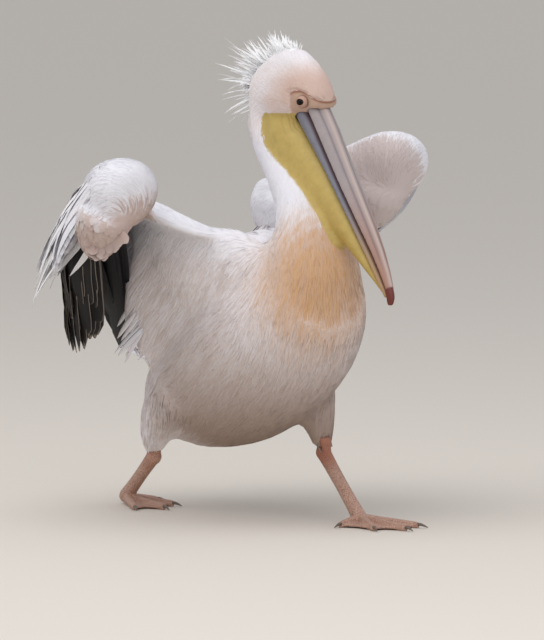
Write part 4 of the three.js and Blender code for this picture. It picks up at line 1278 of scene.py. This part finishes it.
legs = {"voxel": 0.0016, "bridge": 0.0004, "passes": 6,
        "hockFade": (0.055, 0.012), "hockRed": {"left": 0.9, "right": 0.35},      # metres round the hock
        "clawVoxel": 0.0007, "clawBridge": 0.0002, "clawPasses": 3}
clawNodes = [f"claw_{side}_{n}" for side in pairs for n in (1, 2, 3, 4)]
legScales = makeScales("Leg_scutes", ("#c39a86", "#d4b09c", "#b5694a", "#8f6a5a"), 0.55)
for side in pairs:
    leg = copyNodes(f"leg_{side}", legFlesh[side], legs["voxel"], legs["bridge"])
    finishWith(leg, "SMOOTH", factor=0.5, iterations=legs["passes"])
    away = np.linalg.norm(places(leg) - spot(f"hock_{side}", 0.5, 0.5, 0.45), axis=1)
    paint(leg, "joint", ramp(away, *legs["hockFade"]) * legs["hockRed"][side])
    wear(leg, legScales)
    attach(leg, "root")
    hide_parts(*legFlesh[side])

claws = copyNodes("claws", clawNodes, legs["clawVoxel"], legs["clawBridge"], oneShell=False)
finishWith(claws, "SMOOTH", factor=0.5, iterations=legs["clawPasses"])
wear(claws, makeHorn("Claw_horn", [("#5b5049", "#7c6f63")], 0.35, 200.0))
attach(claws, "root")
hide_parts(*clawNodes)
print("legs")


# Eyes

eyes = {
    "radius": 0.0085, "iris": 0.0078, "irisSoft": 0.0006, "pupil": 0.0034, "pupilSoft": 0.0003,
    "corneaHigh": 0.0009, "corneaWide": 0.0056, "lookAhead": 0.25,
    "lid": 0.0094, "lidThick": 0.0009, "lidBack": -0.002, "openWide": 0.0067, "openHigh": 0.0051,
}


def makeEyeFinish():   # wet dark eye: brown iris, black pupil, clear coat over both
    material, tree, shader = startMaterial("Eye_wet")
    base = layTints(tree, colour("#3a241a"), (("iris", "#180b08"), ("pupil", "#060404")))
    setInputs(tree, shader, {"Base Color": base, "Roughness": 0.12, "Coat Weight": 0.10,
                             "Coat Roughness": 0.03, "Specular IOR Level": 0.12})
    return material


eyeFinish = makeEyeFinish()
lidFinish = makeHorn("Lid_skin", [("#b08c7c", "#c09c8a")], 0.6, 300.0)
for side in pairs:
    middle = eyeMiddles[side]
    sign = 1 if side == "left" else -1
    gaze = unit(headAside * sign + headAhead * eyes["lookAhead"])
    deselect()
    bpy.ops.mesh.primitive_uv_sphere_add(segments=48, ring_count=32, radius=eyes["radius"])
    eyeball = bpy.context.object
    eyeball.name = f"eyeball_{side}"
    turn = Vector(gaze).to_track_quat("Z", "Y").to_matrix()
    local = places(eyeball)
    fromAxis = np.hypot(local[:, 0], local[:, 1])
    front = local[:, 2] > 0
    cornea = eyes["corneaHigh"] * ramp(fromAxis, eyes["corneaWide"], 0.0)      # it stands proud
    local[:, 2] += np.where(front, cornea, 0)
    setPlaces(eyeball, local @ np.array(turn).T + middle)
    paint(eyeball, "iris", ramp(fromAxis, eyes["iris"], eyes["iris"] - eyes["irisSoft"]) * front)
    edge = eyes["pupil"] + eyes["pupilSoft"], eyes["pupil"] - eyes["pupilSoft"]
    paint(eyeball, "pupil", ramp(fromAxis, *edge) * front)
    wear(eyeball, eyeFinish)
    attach(eyeball, "root")
    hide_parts(f"eye_{side}")

    deselect()
    bpy.ops.mesh.primitive_uv_sphere_add(segments=64, ring_count=48, radius=eyes["lid"])
    lids = bpy.context.object
    lids.name = f"lids_{side}"
    local = places(lids)
    slit = (local[:, 0] / eyes["openWide"]) ** 2 + (local[:, 1] / eyes["openHigh"]) ** 2
    pick(lids, (slit < 1) & (local[:, 2] > 0) | (local[:, 2] < eyes["lidBack"]))
    bpy.ops.mesh.delete(type="VERT")
    bpy.ops.object.mode_set(mode="OBJECT")
    finishWith(lids, "SOLIDIFY", thickness=eyes["lidThick"], offset=1.0)
    finishWith(lids, "SMOOTH", factor=0.5, iterations=2)
    level = unit(np.cross((0, 0, 1.0), gaze))
    turn = np.stack([level, np.cross(gaze, level), gaze], 1)
    setPlaces(lids, places(lids) @ turn.T + middle)
    wear(lids, lidFinish)
    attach(lids, "root")
    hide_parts(f"eyelids_{side}")
print("eyes")


# Studio: floor, light and camera

studio = {
    "target": (0.0081, 0.0551, 0.3408),
    "azimuth": 58, "elevation": 5, "distance": 12.0, "lens": 391.5, "reach": 400,
    "paper": "#dcd5cb", "air": "#d3d4d8", "airStrength": 0.93, "lightAim": (0, 0, 0.4),
    "lights": {"key": {"at": (0.2, -1.6, 4.2), "size": 5.0, "power": 92, "tint": "#fffdfa"},
               "fill": {"at": (3.0, -0.6, 1.8), "size": 3.0, "power": 22, "tint": "#f6f8ff"}},
}

deselect()
bpy.ops.mesh.primitive_plane_add(size=studio["reach"], location=(0, 0, 0))
floor = bpy.context.object
floor.name = "floor"
floorMaterial, tree, shader = startMaterial("Studio_paper")      # matt paper, no gloss
setInputs(tree, shader, {"Base Color": colour(studio["paper"]), "Roughness": 0.9})
floor.data.materials.append(floorMaterial)

world = bpy.data.worlds.new("Studio_air")
bpy.context.scene.world = world
world.use_nodes = True
setInputs(world.node_tree, world.node_tree.nodes["Background"],
          {"Color": colour(studio["air"]), "Strength": studio["airStrength"]})

for name, settings in studio["lights"].items():
    light = bpy.data.lights.new(name, "AREA")
    light.shape = "DISK"
    light.size = settings["size"]
    light.energy = settings["power"]
    light.color = colour(settings["tint"])[:3]
    lamp = bpy.data.objects.new(name, light)
    bpy.context.collection.objects.link(lamp)
    lamp.location = settings["at"]
    aim = Vector(studio["lightAim"]) - Vector(settings["at"])
    lamp.rotation_euler = aim.to_track_quat("-Z", "Y").to_euler()

azimuth, elevation = radians(studio["azimuth"]), radians(studio["elevation"])
bpy.ops.object.camera_add()
camera = bpy.context.object
camera.name = "camera"
toCamera = Vector((sin(azimuth) * cos(elevation), -cos(azimuth) * cos(elevation), sin(elevation)))
camera.location = Vector(studio["target"]) + toCamera * studio["distance"]
camera.rotation_euler = (-toCamera).to_track_quat("-Z", "Y").to_euler()
camera.data.lens = studio["lens"]
camera.data.sensor_fit = "VERTICAL"
camera.data.sensor_height = 36
camera.data.clip_end = studio["reach"]
bpy.context.scene.camera = camera
bpy.context.scene.view_settings.view_transform = "Standard"
